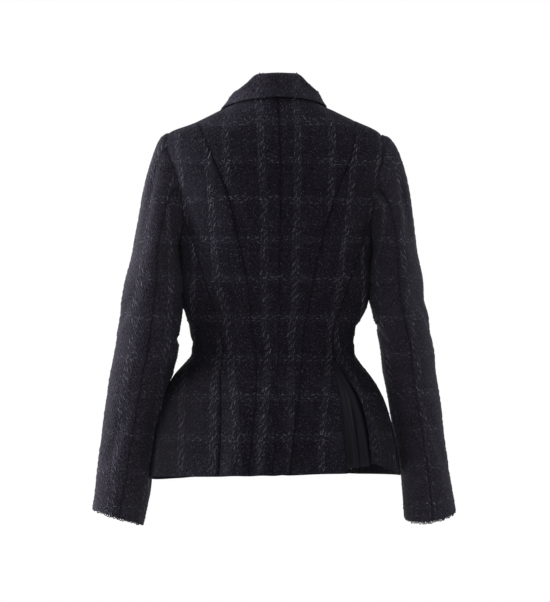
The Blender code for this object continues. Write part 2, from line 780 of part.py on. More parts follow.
def lay_wall(name, grid, side, thickness, material, collection):
    """A wall whose outer face lies on the grid, inwards along the body form."""
    inner = grid - normals(grid) * thickness
    flip = np.array([side.sign, 1.0, 1.0])
    wall_object(name, grid * flip, inner * flip, material, collection)


def fold_wall(name, grid, sign, material, collection):
    """A wall about a middle surface."""
    half = grid_normals(grid) * WALL / 2
    flip = np.array([sign, 1.0, 1.0])
    wall_object(name, (grid + half) * flip, (grid - half) * flip, material, collection)


def sleeve_wall(name, grid, whole, columns, side, material, collection):
    """A wall whose outer face lies on the sleeve's grid, inwards towards the arm."""
    ring = np.concatenate([whole[:, -1:], whole, whole[:, :1]], axis=1)
    inward = grid_normals(ring)[:, 1:-1][:, columns % RING_POINTS]
    towards_middle = whole.mean(axis=1, keepdims=True) - grid
    inward = inward * np.sign(np.sum(inward * towards_middle))
    flip = np.array([side.sign, 1.0, 1.0])
    wall_object(name, grid * flip, (grid + inward * WALL) * flip, material, collection)


def make_button(number, front, z, material, collection):
    point, facing = button_place(front, z)
    mesh = bpy.data.meshes.new(f"button_{number}")
    body = bmesh.new()
    bmesh.ops.create_cone(
        body, cap_ends=True, segments=28, radius1=BUTTON_RADIUS, radius2=BUTTON_RADIUS, depth=BUTTON_THICKNESS
    )
    body.to_mesh(mesh)
    body.free()
    mesh.materials.append(material)
    button = bpy.data.objects.new(f"button_{number}", mesh)
    button.location = point + facing * (BUTTON_SHANK + BUTTON_THICKNESS / 2)
    button.rotation_mode = "QUATERNION"
    button.rotation_quaternion = facing.to_track_quat("Z", "Y")
    bevel = button.modifiers.new("rounded rim", "BEVEL")
    bevel.width = BUTTON_BEVEL
    bevel.segments = 2
    collection.objects.link(button)


def make_material(name, finish):
    colour, roughness = finish
    material = bpy.data.materials.new(name)
    material.use_nodes = True
    shader = material.node_tree.nodes["Principled BSDF"]
    shader.inputs["Base Color"].default_value = colour
    shader.inputs["Roughness"].default_value = roughness
    shader.inputs["Metallic"].default_value = 0.0
    return material


def make_body(side, tweed, collection):
    panels = {
        "back": back_panel(side),
        "side_back": side_back_panel(side),
        "side": side_panel(side),
        "front": front_panel(side),
    }
    for name, grid in panels.items():
        lay_wall(f"{name}_{side.name}", grid, side, WALL, tweed, collection)
    fold_wall(f"lapel_{side.name}", lapel_grid(side), side.sign, tweed, collection)


def make_sleeve(side, tweed, collection):
    whole = sleeve_grid(side)
    ends = {"under_sleeve": (HIND_SEAM, FORE_SEAM), "upper_sleeve": (FORE_SEAM, HIND_SEAM + RING_POINTS)}
    for name, (first, last) in ends.items():
        columns = np.arange(first, last + 1)
        grid = sleeve_piece(whole, first, last)
        sleeve_wall(f"{name}_{side.name}", grid, whole, columns, side, tweed, collection)


def main():
    for thing in list(bpy.data.objects):
        bpy.data.objects.remove(thing, do_unlink=True)
    jacket = bpy.data.collections.new("suit_jacket")
    bpy.context.scene.collection.children.link(jacket)
    tweed = make_material("tweed", TWEED)
    smooth_cloth = make_material("smooth cloth", SMOOTH_CLOTH)
    horn = make_material("horn", HORN)
    for side in SIDES:
        make_body(side, tweed, jacket)
        make_sleeve(side, tweed, jacket)
        if side.vented:
            lay_wall(f"insert_{side.name}", insert_grid(), side, INSERT_WALL, smooth_cloth, jacket)
    fold_wall("collar", collar_grid(), 1, tweed, jacket)
    lapping_front = front_panel(SIDES[1])[UPPER_STEPS:]
    for number, z in enumerate(BUTTON_HEIGHTS, start=1):
        make_button(number, lapping_front, z, horn, jacket)


main()
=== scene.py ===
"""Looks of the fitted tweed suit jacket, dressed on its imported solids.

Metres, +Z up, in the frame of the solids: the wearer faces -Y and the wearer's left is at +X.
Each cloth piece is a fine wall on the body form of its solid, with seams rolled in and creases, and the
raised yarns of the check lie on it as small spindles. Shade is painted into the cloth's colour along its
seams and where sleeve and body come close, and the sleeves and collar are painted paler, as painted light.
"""

import math
from collections import namedtuple

import bpy
import numpy as np
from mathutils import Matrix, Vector, kdtree


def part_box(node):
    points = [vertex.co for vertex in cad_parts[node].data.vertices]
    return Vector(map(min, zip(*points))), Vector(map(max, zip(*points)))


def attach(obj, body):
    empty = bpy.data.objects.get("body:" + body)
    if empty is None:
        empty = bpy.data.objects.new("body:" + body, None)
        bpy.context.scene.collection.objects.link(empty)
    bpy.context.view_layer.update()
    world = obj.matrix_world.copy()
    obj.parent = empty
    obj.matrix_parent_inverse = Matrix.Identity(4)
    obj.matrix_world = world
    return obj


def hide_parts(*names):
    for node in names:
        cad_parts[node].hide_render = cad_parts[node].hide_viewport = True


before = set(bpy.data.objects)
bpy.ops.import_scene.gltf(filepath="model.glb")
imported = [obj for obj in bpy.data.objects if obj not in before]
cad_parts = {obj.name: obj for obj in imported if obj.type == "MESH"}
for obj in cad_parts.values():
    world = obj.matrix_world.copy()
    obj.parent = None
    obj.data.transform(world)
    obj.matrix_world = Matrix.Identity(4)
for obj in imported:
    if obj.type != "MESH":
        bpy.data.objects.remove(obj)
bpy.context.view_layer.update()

# Cloth
WALL = 0.0024
INSERT_WALL = 0.0012
SEAM_LAP = 0.0003
BACK, FRONT = 1, -1

# Heights that drive the cut
NECK_BACK_Z = 0.012
PRINCESS_TOP_Z = -0.0288
GORGE_Z = -0.052
PEPLUM_TOP_Z = -0.395
VENT_TOP_Z = -0.408
HEM_Z = -0.591

# Horizontal sections of the body form
FORM_COLUMNS = ("z", "half_width", "back_depth", "front_depth", "squareness")
FORM = (
    (0.040, 0.0580, 0.0480, 0.0460, 2.00),
    (0.012, 0.0640, 0.0555, 0.0520, 2.00),
    (0.000, 0.0680, 0.0610, 0.0560, 2.00),
    (-0.015, 0.0975, 0.0700, 0.0610, 2.05),
    (-0.0288, 0.1262, 0.0790, 0.0660, 2.10),
    (-0.0505, 0.1695, 0.0910, 0.0790, 2.20),
    (-0.072, 0.1775, 0.0985, 0.0890, 2.25),
    (-0.110, 0.1710, 0.1050, 0.1040, 2.30),
    (-0.173, 0.1610, 0.1080, 0.1240, 2.30),
    (-0.235, 0.1540, 0.1010, 0.1310, 2.20),
    (-0.300, 0.1522, 0.0860, 0.1180, 2.20),
    (-0.322, 0.1485, 0.0800, 0.1115, 2.15),
    (-0.348, 0.1388, 0.0740, 0.1042, 2.10),
    (-0.366, 0.1326, 0.0705, 0.0998, 2.10),
    (-0.389, 0.1304, 0.0680, 0.0960, 2.10),
    (-0.401, 0.1308, 0.0695, 0.0966, 2.10),
    (-0.4176, 0.1420, 0.0760, 0.0995, 2.10),
    (-0.432, 0.1550, 0.0840, 0.1040, 2.10),
    (-0.450, 0.1675, 0.0940, 0.1090, 2.10),
    (-0.475, 0.1790, 0.1050, 0.1150, 2.10),
    (-0.510, 0.1888, 0.1150, 0.1210, 2.05),
    (-0.553, 0.1972, 0.1240, 0.1260, 2.00),
    (-0.600, 0.2030, 0.1310, 0.1300, 2.00),
)

# Seam lines: distance from the middle at each height; the back seams differ from side to side and swing
# to the wearer's left below the waist, as the centre seam does
SEAM_COLUMNS = ("z", "x")
PAIR_COLUMNS = ("z", "left", "right")
CENTRE_SEAM = (
    (-0.300, 0.0000),
    (-0.352, -0.0030),
    (-0.400, -0.0028),
    (-0.450, -0.0006),
    (-0.482, 0.0030),
    (-0.510, 0.0055),
    (-0.553, 0.0100),
    (-0.600, 0.0150),
)
PRINCESS_SEAM = (
    (-0.0505, 0.1200, 0.1225),
    (-0.077, 0.1110, 0.1170),
    (-0.147, 0.0830, 0.0890),
    (-0.208, 0.0680, 0.0700),
    (-0.272, 0.0530, 0.0550),
    (-0.344, 0.0415, 0.0450),
    (-0.394, 0.0320, 0.0408),
    (-0.432, 0.0303, 0.0380),
    (-0.475, 0.0350, 0.0310),
    (-0.510, 0.0408, 0.0240),
    (-0.553, 0.0470, 0.0168),
    (-0.600, 0.0525, 0.0105),
)
SIDE_BACK_SEAM = (
    (-0.240, 0.1300, 0.1300),
    (-0.310, 0.1080, 0.1060),
    (-0.358, 0.0915, 0.0940),
    (-0.389, 0.0845, 0.0915),
    (-0.408, 0.0855, 0.0930),
    (-0.500, 0.0905, 0.0970),
    (-0.600, 0.0985, 0.1040),
)
SIDE_FRONT_SEAM = (
    (-0.240, 0.1340),
    (-0.300, 0.1240),
    (-0.389, 0.1050),
    (-0.450, 0.1300),
    (-0.600, 0.1480),
)
FRONT_EDGE = (
    (0.000, 0.0680),
    (-0.052, 0.0560),
    (-0.160, 0.0290),
    (-0.332, -0.0150),
    (-0.600, -0.0150),
)

# The vent in the right side-back seam: its two edges, apart below the waist
VENT_COLUMNS = ("z", "back_x", "side_x")
VENT = (
    (-0.404, 0.0925, 0.0925),
    (-0.432, 0.0965, 0.1115),
    (-0.475, 0.1005, 0.1325),
    (-0.510, 0.1020, 0.1395),
    (-0.553, 0.1040, 0.1420),
    (-0.600, 0.1072, 0.1435),
)
VENT_FLARE = 0.007
VENT_FLARE_FALL = 3
VENT_HEM_LIFT = 0.0145
VENT_LIFT_FALL = 6
VENT_LIFT_TOP_Z = -0.553

# Fine grid rows and columns of the panels
ARM_STEPS = 32
ARM_END = math.radians(120)
SEAM_STEPS = 20
UPPER_STEPS = ARM_STEPS + SEAM_STEPS
ROW_HEIGHTS = np.linspace(-0.300, HEM_Z, 76)
NECK_STEPS = 24
SHOULDER_STEPS = 16
GORGE_STEPS = 16
SIDE_BACK_STEPS = 20
SIDE_STEPS = 32
FRONT_STEPS = 48
TRACE_POINTS = 240
SETTLE_ROUNDS = 8

# Armhole
ARMHOLE_TOP_Z = -0.0528
UNDERARM_Z = -0.222
ARMHOLE_BACK_TURN = 0.22
ARMHOLE_FRONT_TURN = 0.26
ARMHOLE_LOW = 0.25

# Soft flutes that each peplum panel falls into: depth at the hem, number, share of the width they fill
FLUTES = {"back": (0.007, 1, 1.0), "side_back": (0.007, 1, 1.0), "front": (0.005, 2, 0.74)}

# Collar and lapels, worked out on few stations and then refined. The collar lies 1 mm closer to the
# back than its solid and its base is tucked into the neck seam, so that no light comes through
STRIP_NECK_STEPS = 6
STRIP_GORGE_STEPS = 4
STRIP_LAPEL_STEPS = 9
STRIP_REFINED = (6, 5)
COLLAR_COLUMNS = ("station", "stand", "upright", "lift")
COLLAR = (
    (0, 0.0270, 0.70, 0.0024),
    (2, 0.0266, 0.60, 0.0025),
    (3, 0.0158, 0.50, 0.0025),
    (4, 0.0092, 0.45, 0.0024),
    (6, 0.0045, 0.40, 0.0024),
    (8, 0.0035, 0.20, 0.0024),
    (10, 0.0020, 0.00, 0.0024),
)
COLLAR_EDGE_COLUMNS = ("turn", "z")
COLLAR_EDGE_BACK = ((0.0, 0.0060), (0.5, 0.0020), (1.0, -0.0075))
COLLAR_EDGE_FRONT = ((-0.0075, 0.0828), (-0.036, 0.0925), (-0.065, 0.0990))
COLLAR_NOTCH_DIP = (0.004, 0.0, -0.0125)
LAPEL_EDGE = (
    (-0.100, 0.1120),
    (-0.150, 0.1020),
    (-0.200, 0.0830),
    (-0.250, 0.0570),
    (-0.300, 0.0290),
    (-0.345, -0.0030),
)
FOLD_RADIUS_COLUMNS = ("z", "radius")
FOLD_RADIUS = ((0.050, 0.0040), (-0.052, 0.0036), (-0.200, 0.0024), (-0.340, 0.0016))
LAPEL_STAND = 0.0020
STRIP_OFFSET = 0.0013
COLLAR_TUCK = 0.0030
GORGE_GAP = 0.0006
FALL_STEPS = 5
FOLD_ROW = 4
LAPEL_LIFT = WALL / 2 + 0.0022

# The hem falls lower at the front
FRONT_DROP = 0.0095

# The right front laps over the left one
LAP_LIFT = WALL + 0.0012
LAP_START_X = 0.045
LAP_FULL_X = 0.020

# Sleeves: sections along the arm, then the cap that joins them to the armhole; the two sides differ
# fully from FULL_Z down
SLEEVE_COLUMNS = ("z", "x", "half_across", "half_deep", "y")
SLEEVE = (
    (-0.245, 0.1912, 0.0385, 0.0560, 0.002),
    (-0.300, 0.1938, 0.0470, 0.0525, 0.003),
    (-0.341, 0.2005, 0.0460, 0.0495, 0.003),
    (-0.4176, 0.2130, 0.0462, 0.0465, -0.003),
    (-0.500, 0.2262, 0.0447, 0.0440, -0.014),
    (-0.597, 0.2412, 0.0420, 0.0410, -0.028),
    (-0.6595, 0.2510, 0.0410, 0.0395, -0.040),
)
BICEP_Z, FULL_Z, CUFF_TOP_Z, CUFF_Z = (SLEEVE[row][0] for row in (0, 2, -2, -1))
CAP_STEPS = 40
SLEEVE_STEPS = 100
REACH_HEIGHTS = (-0.325, -0.372, -0.430, -0.560)
CAP_START = 0.006
UNDERARM_SPRING = 2.4
UNDERARM_FROM = 0.3
CAP_END = 0.17
SLEEVE_CLEARANCE = 0.0002
ARMHOLE_TUCK = 0.0020
ARMHOLE_LAP = 0.0022
RING_POINTS = 96
HIND_SEAM = 24
FORE_SEAM = 68

# Insert
INSERT_TOP_Z = -0.4045
INSERT_HEM_Z = -0.5825
INSERT_HEM_LIFT = 0.009
INSERT_ROWS = 46
INSERT_STEPS = 72
INSERT_FOLDS = 3
INSERT_FOLD_DEPTH = 0.010
INSERT_TUCK_BACK = 0.007
INSERT_TUCK_SIDE = (0.006, 0.022)
INSERT_CLEARANCE = WALL + 0.0005

# The garment hangs a little off level: slope of each height across the body, and its sideways sway
TILT_COLUMNS = ("z", "slope", "sway")
TILT = (
    (0.060, -0.012, 0.0),
    (-0.0288, -0.013, 0.0),
    (-0.060, 0.011, 0.0),
    (-0.110, 0.012, 0.0),
    (-0.250, 0.002, 0.0),
    (-0.330, 0.001, 0.0),
    (-0.366, 0.000, 0.0040),
    (-0.399, 0.000, 0.0028),
    (-0.432, -0.002, 0.0048),
    (-0.480, -0.005, 0.0030),
    (-0.600, -0.020, 0.0),
    (-0.680, 0.002, 0.0),
)

# What differs from side to side; a sleeve's breadth is given above the cuff and at its end,
# its reach out from the body at the elbow and at the cuff, and its head's fullness and spring;
# drop_y is where the hem starts to fall towards the front and where it has fallen
Side = namedtuple(
    "Side", "name sign vented laps_over lapel_steps breadth reach head cuff_rise cuff_drop drop_y"
)
SIDES = (
    Side(
        "left", 1, False, False, 5,
        breadth=(1.08, 1.06), reach=(-0.0068, -0.0018), head=(0.125, 0.27),
        cuff_rise=0.0075, cuff_drop=-0.003, drop_y=(0.060, -0.070),
    ),
    Side(
        "right", -1, True, True, 8,
        breadth=(0.915, 1.04), reach=(0.0060, 0.0030), head=(0.200, 0.18),
        cuff_rise=0.000, cuff_drop=0.005, drop_y=(0.085, 0.000),
    ),
)

# Edges of the cloth walls: a row close inside each edge, how far the edge rolls in and how dark the
# seam is painted there, row by row from the edge, as painted shade (its strength also darkens where
# sleeve and body come close); the armhole seams are pressed flatter and take less painted shade
EDGE_SHARE = 0.30
EDGE_ROLL = 0.0013
ROLL_ROWS = (1.0, 0.25)
SEAM_SHADE = 0.74
SHADE_ROWS = (1.0, 0.55, 0.12)
ARMHOLE_NEAR = (0.006, 0.003)
ARMHOLE_ROLL = 0.15
ARMHOLE_SHADE = 0.25
# Yarns on the sleeves are painted paler than on the body: painted light for the brighter-lit sleeves, and
# more contrast in their grain
SLEEVE_YARN_PAINTED_LIGHT = 1.45
# Painted shade, darkening the colour where sleeve and body come close: its strength on each side, stronger
# on the body's left where more light falls, the distances of full and of no shade, and the depths below
# the neck between which it starts
CLOSE_BY = {
    "sleeve": ({"left": 0.45, "right": 0.50}, (0.008, 0.045), (0.13, 0.22)),
    "body": ({"left": 0.90, "right": 0.35}, (0.030, 0.140), (0.24, 0.42)),
}

# Slow waver of the cloth: turns per metre along x, y and z, phase, depth
WAVER = (
    (38.0, 21.0, 17.0, 0.3, 0.00030),
    (-24.0, 33.0, 52.0, 1.9, 0.00025),
    (61.0, -12.0, 29.0, 4.0, 0.00020),
    (12.0, 44.0, -71.0, 2.4, 0.00020),
)

# Creases by place and way; depth below zero is a ridge, side 0 is both sides. On a body panel u runs
# round the body from the turn given here, on a sleeve from its outer side
CREASE_TURN = {"back": 0.0, "side_back": 0.44, "side": 1.0, "front": 2.0}
Crease = namedtuple("Crease", "piece side u v half_length half_width angle depth")
CREASES = (
    ("under_sleeve", 1, 0.118, -0.318, 0.038, 0.0085, 28, 0.0036),
    ("under_sleeve", 1, 0.102, -0.352, 0.045, 0.0095, 40, 0.0042),
    ("under_sleeve", 1, 0.112, -0.398, 0.036, 0.0080, 33, 0.0030),
    ("under_sleeve", 1, 0.100, -0.470, 0.052, 0.0110, 72, 0.0026),
    ("under_sleeve", 1, 0.150, -0.375, 0.030, 0.0090, 20, 0.0034),
    ("under_sleeve", -1, 0.120, -0.300, 0.034, 0.0080, 24, 0.0032),
    ("under_sleeve", -1, 0.106, -0.338, 0.048, 0.0100, 36, 0.0040),
    ("under_sleeve", -1, 0.116, -0.385, 0.030, 0.0075, 30, 0.0028),
    ("under_sleeve", -1, 0.098, -0.455, 0.060, 0.0120, 66, 0.0030),
    ("under_sleeve", -1, 0.146, -0.362, 0.032, 0.0090, 16, 0.0032),
    ("upper_sleeve", 1, 0.050, -0.150, 0.046, 0.0110, 82, 0.0030),
    ("upper_sleeve", 1, 0.030, -0.330, 0.040, 0.0100, 60, 0.0022),
    ("upper_sleeve", 1, 0.048, -0.520, 0.060, 0.0120, 78, 0.0024),
    ("upper_sleeve", -1, 0.056, -0.165, 0.052, 0.0120, 76, 0.0034),
    ("upper_sleeve", -1, 0.026, -0.345, 0.044, 0.0100, 55, 0.0024),
    ("upper_sleeve", -1, 0.044, -0.545, 0.054, 0.0110, 74, 0.0022),
    ("upper_sleeve", 0, -0.040, -0.360, 0.040, 0.0095, -35, 0.0034),
    ("upper_sleeve", 0, -0.052, -0.395, 0.034, 0.0085, -28, 0.0030),
    ("upper_sleeve", 0, -0.036, -0.440, 0.042, 0.0100, -48, 0.0022),
    ("side_back", 1, -0.006, -0.372, 0.028, 0.0060, 8, 0.0014),
    ("side_back", 1, 0.004, -0.391, 0.034, 0.0065, -4, 0.0018),
    ("side_back", -1, 0.000, -0.378, 0.030, 0.0065, -6, 0.0016),
    ("side_back", -1, 0.008, -0.396, 0.024, 0.0060, 12, 0.0013),
    ("side_back", 0, 0.030, -0.215, 0.046, 0.0110, 62, 0.0022),
    ("back", 1, 0.034, -0.384, 0.030, 0.0070, 5, 0.0012),
    ("back", -1, 0.030, -0.392, 0.026, 0.0065, -8, 0.0012),
    ("back", 0, 0.072, -0.170, 0.060, 0.0140, 70, 0.0018),
    ("side", 0, -0.020, -0.360, 0.034, 0.0070, 10, 0.0018),
    ("side", 1, 0.012, -0.384, 0.042, 0.0075, -5, 0.0022),
    ("side", -1, 0.018, -0.378, 0.036, 0.0070, 7, 0.0020),
    ("side", 0, 0.030, -0.255, 0.030, 0.0090, 55, 0.0020),
    ("side", -1, -0.050, -0.402, 0.026, 0.0040, -4, 0.0022),
    ("side", -1, -0.089, -0.535, 0.046, 0.0085, 81, -0.0062),
    ("front", 0, -0.070, -0.352, 0.040, 0.0080, 24, 0.0022),
    ("front", 0, -0.062, -0.384, 0.046, 0.0080, 2, 0.0018),
    ("front", 0, -0.115, -0.245, 0.044, 0.0110, -58, 0.0024),
)
CREASE_RIDGE = 0.7

# The check: a window of raised yarns on each panel's grain
CHECK_WIDTH = 0.0560
CHECK_HEIGHT = 0.0622
CHECK_START_Z = -0.0336
BAND_YARNS = 3
BAND_PITCH = 0.0040
FLOAT_PITCH = 0.0110
FLOAT_LENGTH = 0.0080
WEFT_FLOAT_LENGTH = 0.0056
FLOAT_WIDTH = 0.0014
FLOAT_RISE = 0.0008
WARP_STAGGER = 1 / 3
WEFT_STAGGER = 1 / 2
WARP_LEAN = 0.38
NUBS_PER_M2 = 5200
NUB_LENGTH = (0.0022, 0.0050)
NUB_WIDTH = (0.0008, 0.0016)
NUB_BRIGHT = 0.09
NUB_BRIGHT_TONE = (0.2, 0.5)
NUB_DARK_TONE = (0.0, 0.12)
FloatSet = namedtuple("FloatSet", "missing stray waver tone")
WARP_FLOATS = FloatSet(0.22, 0.0008, 0.16, 0.40)
WEFT_FLOATS = FloatSet(0.30, 0.0011, 0.38, 0.36)
FLOAT_LENGTH_RANGE = (0.70, 1.2)
FLOAT_WIDTH_RANGE = (0.75, 1.2)
FLOAT_TONE_SPREAD = 0.22
FLOAT_TONE_RANGE = (0.06, 1.0)
# A yarn lies within this distance of a grid point, where the cloth is stretched less than this share
YARN_EDGE = 0.0035
YARN_STRETCH = 0.6
LEAST_AREA = 1e-9
# Rings of a yarn: place along its length, share of its width
YARN_RINGS = ((-0.43, 0.62), (-0.15, 1.0), (0.15, 1.0), (0.43, 0.62))
YARN_SIDES = 4
TWILL_PITCH = 0.0044
TWILL_LEAN = 0.55
TWILL_STRAY = 2.2
TWILL_RISE = 0.40
YARN_SEED = 11

# Angle past which an edge of a mesh is sharp; yarns and loops have no sharp edges
SHARP_ANGLE = 50
NO_SHARP = 180

# Tones of the tweed: its body, its sleeves and collar, and its reverse; the sleeves and collar take a
# copy of the same cloth painted paler and with more sheen, as painted light. Bands and specks lie on it,
# and painted shade darkens its seams and where sleeve and body come close
Tweed = namedtuple("Tweed", "dark ground sheen specular banded")
TWEEDS = {
    "tweed": Tweed((0.0022, 0.0019, 0.0034, 1.0), (0.0218, 0.0190, 0.0302, 1.0), 0.02, 0.05, True),
    "sleeve tweed painted lighter": Tweed((0.0016, 0.0013, 0.0025, 1.0), (0.0330, 0.0272, 0.0455, 1.0), 0.07, 0.12, True),
    "tweed reverse": Tweed((0.0028, 0.0027, 0.0038, 1.0), (0.0080, 0.0076, 0.0100, 1.0), 0.02, 0.05, False),
}
BAND_TONE = (0.0250, 0.0230, 0.0345, 1.0)
BAND_SHARES = (0.50, 0.28)
BAND_FADE = (0.0085, 0.0045)
SPECK_TONE = (0.074, 0.070, 0.092, 1.0)
SPECK_RANGE = (0.74, 1.00)
BAND_SPECKS = 0.20
PAINTED_SHADE_TONE = (0.001, 0.001, 0.001, 1.0)
TWEED_ROUGHNESS = 0.92
TWEED_SHEEN_ROUGHNESS = 0.60
TWEED_TINT = (0.78, 0.75, 0.92, 1.0)

# Patterns of the tweed: their grain, where each starts and is full, and its share of tone and height
Grain = namedtuple("Grain", "scale detail roughness")
Bump = namedtuple("Bump", "strength distance")
FIBRE = Grain(1900.0, 3.0, 0.65)
SLOW = Grain(30.0, 3.0, 0.55)
MOTTLE = Grain(330.0, 2.0, 0.6)
BREAKS = Grain(420.0, 2.0, 0.5)
CURL_SCALE = 420.0
SPOT_SCALE = 430.0
LUMP_STEP = (0.75, 0.10)
FIBRE_STEP = (0.25, 0.75)
MOTTLE_STEP = (0.30, 0.68)
SLOW_STEP = (0.40, 0.85)
BREAK_STEP = (0.40, 0.62)
SPOT_STEP = (0.45, 0.15)
PALE_SHARE = 0.62
SLOW_SHARE = 0.3
LUMP_HEIGHT = 0.5
RIB_HEIGHT = 0.6
FIBRE_HEIGHT = 0.35
TWEED_BUMP = Bump(0.85, 0.0009)

# The other materials: tones, grain, bump and finish; the plain ones have a colour, roughness and grain
Finish = namedtuple("Finish", "roughness sheen sheen_roughness tint specular")
YARN_TONES = ((0.006, 0.0055, 0.009, 1.0), (0.146, 0.140, 0.172, 1.0))
YARN_TWIST = Grain(1500.0, 3.0, 0.6)
YARN_TWIST_STEP = (0.15, 0.70)
YARN_BUMP = Bump(0.6, 0.0005)
YARN_FINISH = Finish(0.9, 0.06, 0.45, (0.78, 0.78, 0.88, 1.0), 0.12)
SMOOTH_TONES = ((0.0044, 0.0038, 0.0066, 1.0), (0.0086, 0.0074, 0.0124, 1.0))
SMOOTH_WEAVE = Grain(2600.0, 2.0, 0.6)
SMOOTH_CLOUD = Grain(60.0, 2.0, 0.5)
SMOOTH_BUMP = Bump(0.25, 0.0003)
SMOOTH_FINISH = Finish(0.50, 0.03, 0.35, (0.80, 0.80, 0.90, 1.0), 0.12)
HORN_TONES = ((0.008, 0.007, 0.007, 1.0), (0.030, 0.026, 0.024, 1.0))
HORN_CLOUD = Grain(160.0, 4.0, 0.6)
HORN_ROUGHNESS_STEP = (-0.6, 1.8)
HORN_SCRATCH = Grain(900.0, 2.0, 0.5)
HORN_BUMP = Bump(0.08, 0.0002)
PLAIN = {
    "painted hole shade": ((0.003, 0.003, 0.003, 1.0), 0.9, Grain(900.0, 3.0, 0.5)),
    "button thread": ((0.014, 0.014, 0.018, 1.0), 0.8, Grain(1600.0, 3.0, 0.5)),
    "pale floor": ((0.80, 0.80, 0.80, 1.0), 0.7, Grain(40.0, 3.0, 0.5)),
}
PLAIN_DARKER = 0.94

BAND_LINES = {
    "back": (
        (0.040, 0.0300, 0.0290),
        (-0.064, 0.0300, 0.0286),
        (-0.155, 0.0267, 0.0267),
        (-0.279, 0.0239, 0.0248),
        (-0.352, 0.0180, 0.0250),
        (-0.400, 0.0140, 0.0240),
        (-0.430, 0.0150, 0.0228),
        (-0.475, 0.0200, 0.0200),
        (-0.510, 0.0254, 0.0175),
        (-0.553, 0.0314, 0.0145),
        (-0.600, 0.0350, 0.0105),
    ),
    "side_back": (
        (-0.050, 0.1150, 0.1220),
        (-0.150, 0.1088, 0.1130),
        (-0.220, 0.1036, 0.1040),
        (-0.285, 0.0976, 0.0970),
        (-0.348, 0.0795, 0.0890),
        (-0.407, 0.0720, 0.0850),
        (-0.460, 0.0692, 0.0770),
        (-0.508, 0.0683, 0.0690),
        (-0.550, 0.0680, 0.0645),
        (-0.600, 0.0678, 0.0600),
    ),
    "side": (
        (-0.240, 0.0860, 0.0900),
        (-0.390, 0.0880, 0.1000),
        (-0.445, 0.0985, 0.1275),
        (-0.510, 0.1035, 0.1445),
        (-0.553, 0.1060, 0.1490),
        (-0.600, 0.1095, 0.1530),
    ),
    "front": ((0.040, 0.0280, 0.0280), (-0.600, 0.0280, 0.0280)),
}
SLEEVE_BAND = 0.008
STRIP_BAND = 0.028
GIRTH_STEPS = 24

# Loops of the raw cuff edges
LOOPS_PER_CUFF = 76
LOOP_DROP = (0.0016, 0.0046)
LOOP_SPREAD = 0.0018
LOOP_RADIUS = 0.0008
LOOP_STRAY = 0.3
LOOP_LEAN = 0.35
LOOP_TONE = 0.45
LOOP_BENDS = 6
LOOP_SIDES = 4

# Buttons; a near-black plug, painted shade for the dark inside of a hole, runs between two heights about
# the dish
BUTTON_RADIUS = 0.0105
BUTTON_THICKNESS = 0.0045
BUTTON_PROFILE = (
    (0.00, 0.34), (0.46, 0.34), (0.58, 0.46), (0.68, 0.80), (0.78, 0.98), (0.88, 1.00),
    (0.96, 0.86), (1.00, 0.58), (0.98, 0.30), (0.90, 0.08), (0.78, 0.00), (0.00, 0.00),
)
BUTTON_SEGMENTS = 64
HOLE_OFFSET = 0.0020
HOLE_RADIUS = 0.0009
HOLE_PLUG = (0.0001, -0.0005)
HOLE_SEGMENTS = 16
THREAD_SIZE = (0.0009, 0.0052, 0.00063)
THREAD_RISE = 0.0002
BUTTON_COUNT = 3

# Flat cut of each piece: width, length, area
CUT = {
    "back": (0.170, 0.630, 0.045),
    "side_back": (0.140, 0.590, 0.044),
    "side": (0.260, 0.430, 0.073),
    "front": (0.230, 0.620, 0.093),
    "lapel": (0.100, 0.240, 0.017),
    "upper_sleeve": (0.240, 0.660, 0.092),
    "under_sleeve": (0.180, 0.560, 0.064),
    "collar": (0.420, 0.110, 0.022),
    "insert": (0.130, 0.180, 0.012),
}

# Camera and room
VIEW_TURN = math.radians(4.6)
VIEW_TARGET = (0.0, 0.0, -0.317)
VIEW_DISTANCE = 6.5
VIEW_WIDTH = 0.880
SENSOR_WIDTH = 36.0
FLOOR_Z = -0.95
FLOOR_RADIUS = 1.3
FLOOR_THICKNESS = 0.02
FLOOR_SEGMENTS = 96
SKY_LIGHT = 0.25
Softbox = namedtuple("Softbox", "name place size power")
SOFTBOXES = (
    Softbox("left strip", (1.9, -0.30, 0.10), (0.6, 1.8), 70),
    Softbox("right strip", (-1.9, -0.40, 0.15), (0.7, 1.8), 14),
    Softbox("overhead", (0.0, 0.1, 2.2), (1.8, 1.0), 30),
    Softbox("key", (0.6, 3.0, 2.2), (1.6, 1.6), 53),
    Softbox("low fill", (0.2, 3.0, -1.4), (1.6, 1.0), 17),
    Softbox("backdrop", (0.0, -2.6, -0.2), (3.4, 2.4), 110),
)


# Curves and tables


def cubic(values, tangent, step, span, t):
    """Cubic over each span between two knots; t runs from 0 to 1 along it."""
    bend = tangent[span] * t * (1 - t) ** 2 - tangent[span + 1] * t * t * (1 - t)
    return mix(values[span], values[span + 1], t * t * (3 - 2 * t)) + step * bend


def smooth(knots, values, at):
    """Cubic through the knots that never overshoots them, held level past both ends."""
    order = np.argsort(knots)
    knots = np.asarray(knots, float)[order]
    values = np.asarray(values, float)[order]
    step = np.diff(knots)
    slope = np.diff(values) / step
    tangent = np.zeros_like(values)
    tangent[0], tangent[-1] = slope[0], slope[-1]
    same_way = slope[:-1] * slope[1:] > 0
    before = 2 * step[1:] + step[:-1]
    after = step[1:] + 2 * step[:-1]
    safe = [np.where(same_way, part, 1.0) for part in (slope[:-1], slope[1:])]
    tangent[1:-1] = np.where(same_way, (before + after) / (before / safe[0] + after / safe[1]), 0.0)
    at = np.clip(np.asarray(at, float), knots[0], knots[-1])
    span = np.clip(np.searchsorted(knots, at) - 1, 0, len(step) - 1)
    t = (at - knots[span]) / step[span]
    return cubic(values, tangent, step[span], span, t)


def read(table, columns, name, at):
    rows = np.array(table)
    return smooth(rows[:, 0], rows[:, columns.index(name)], at)


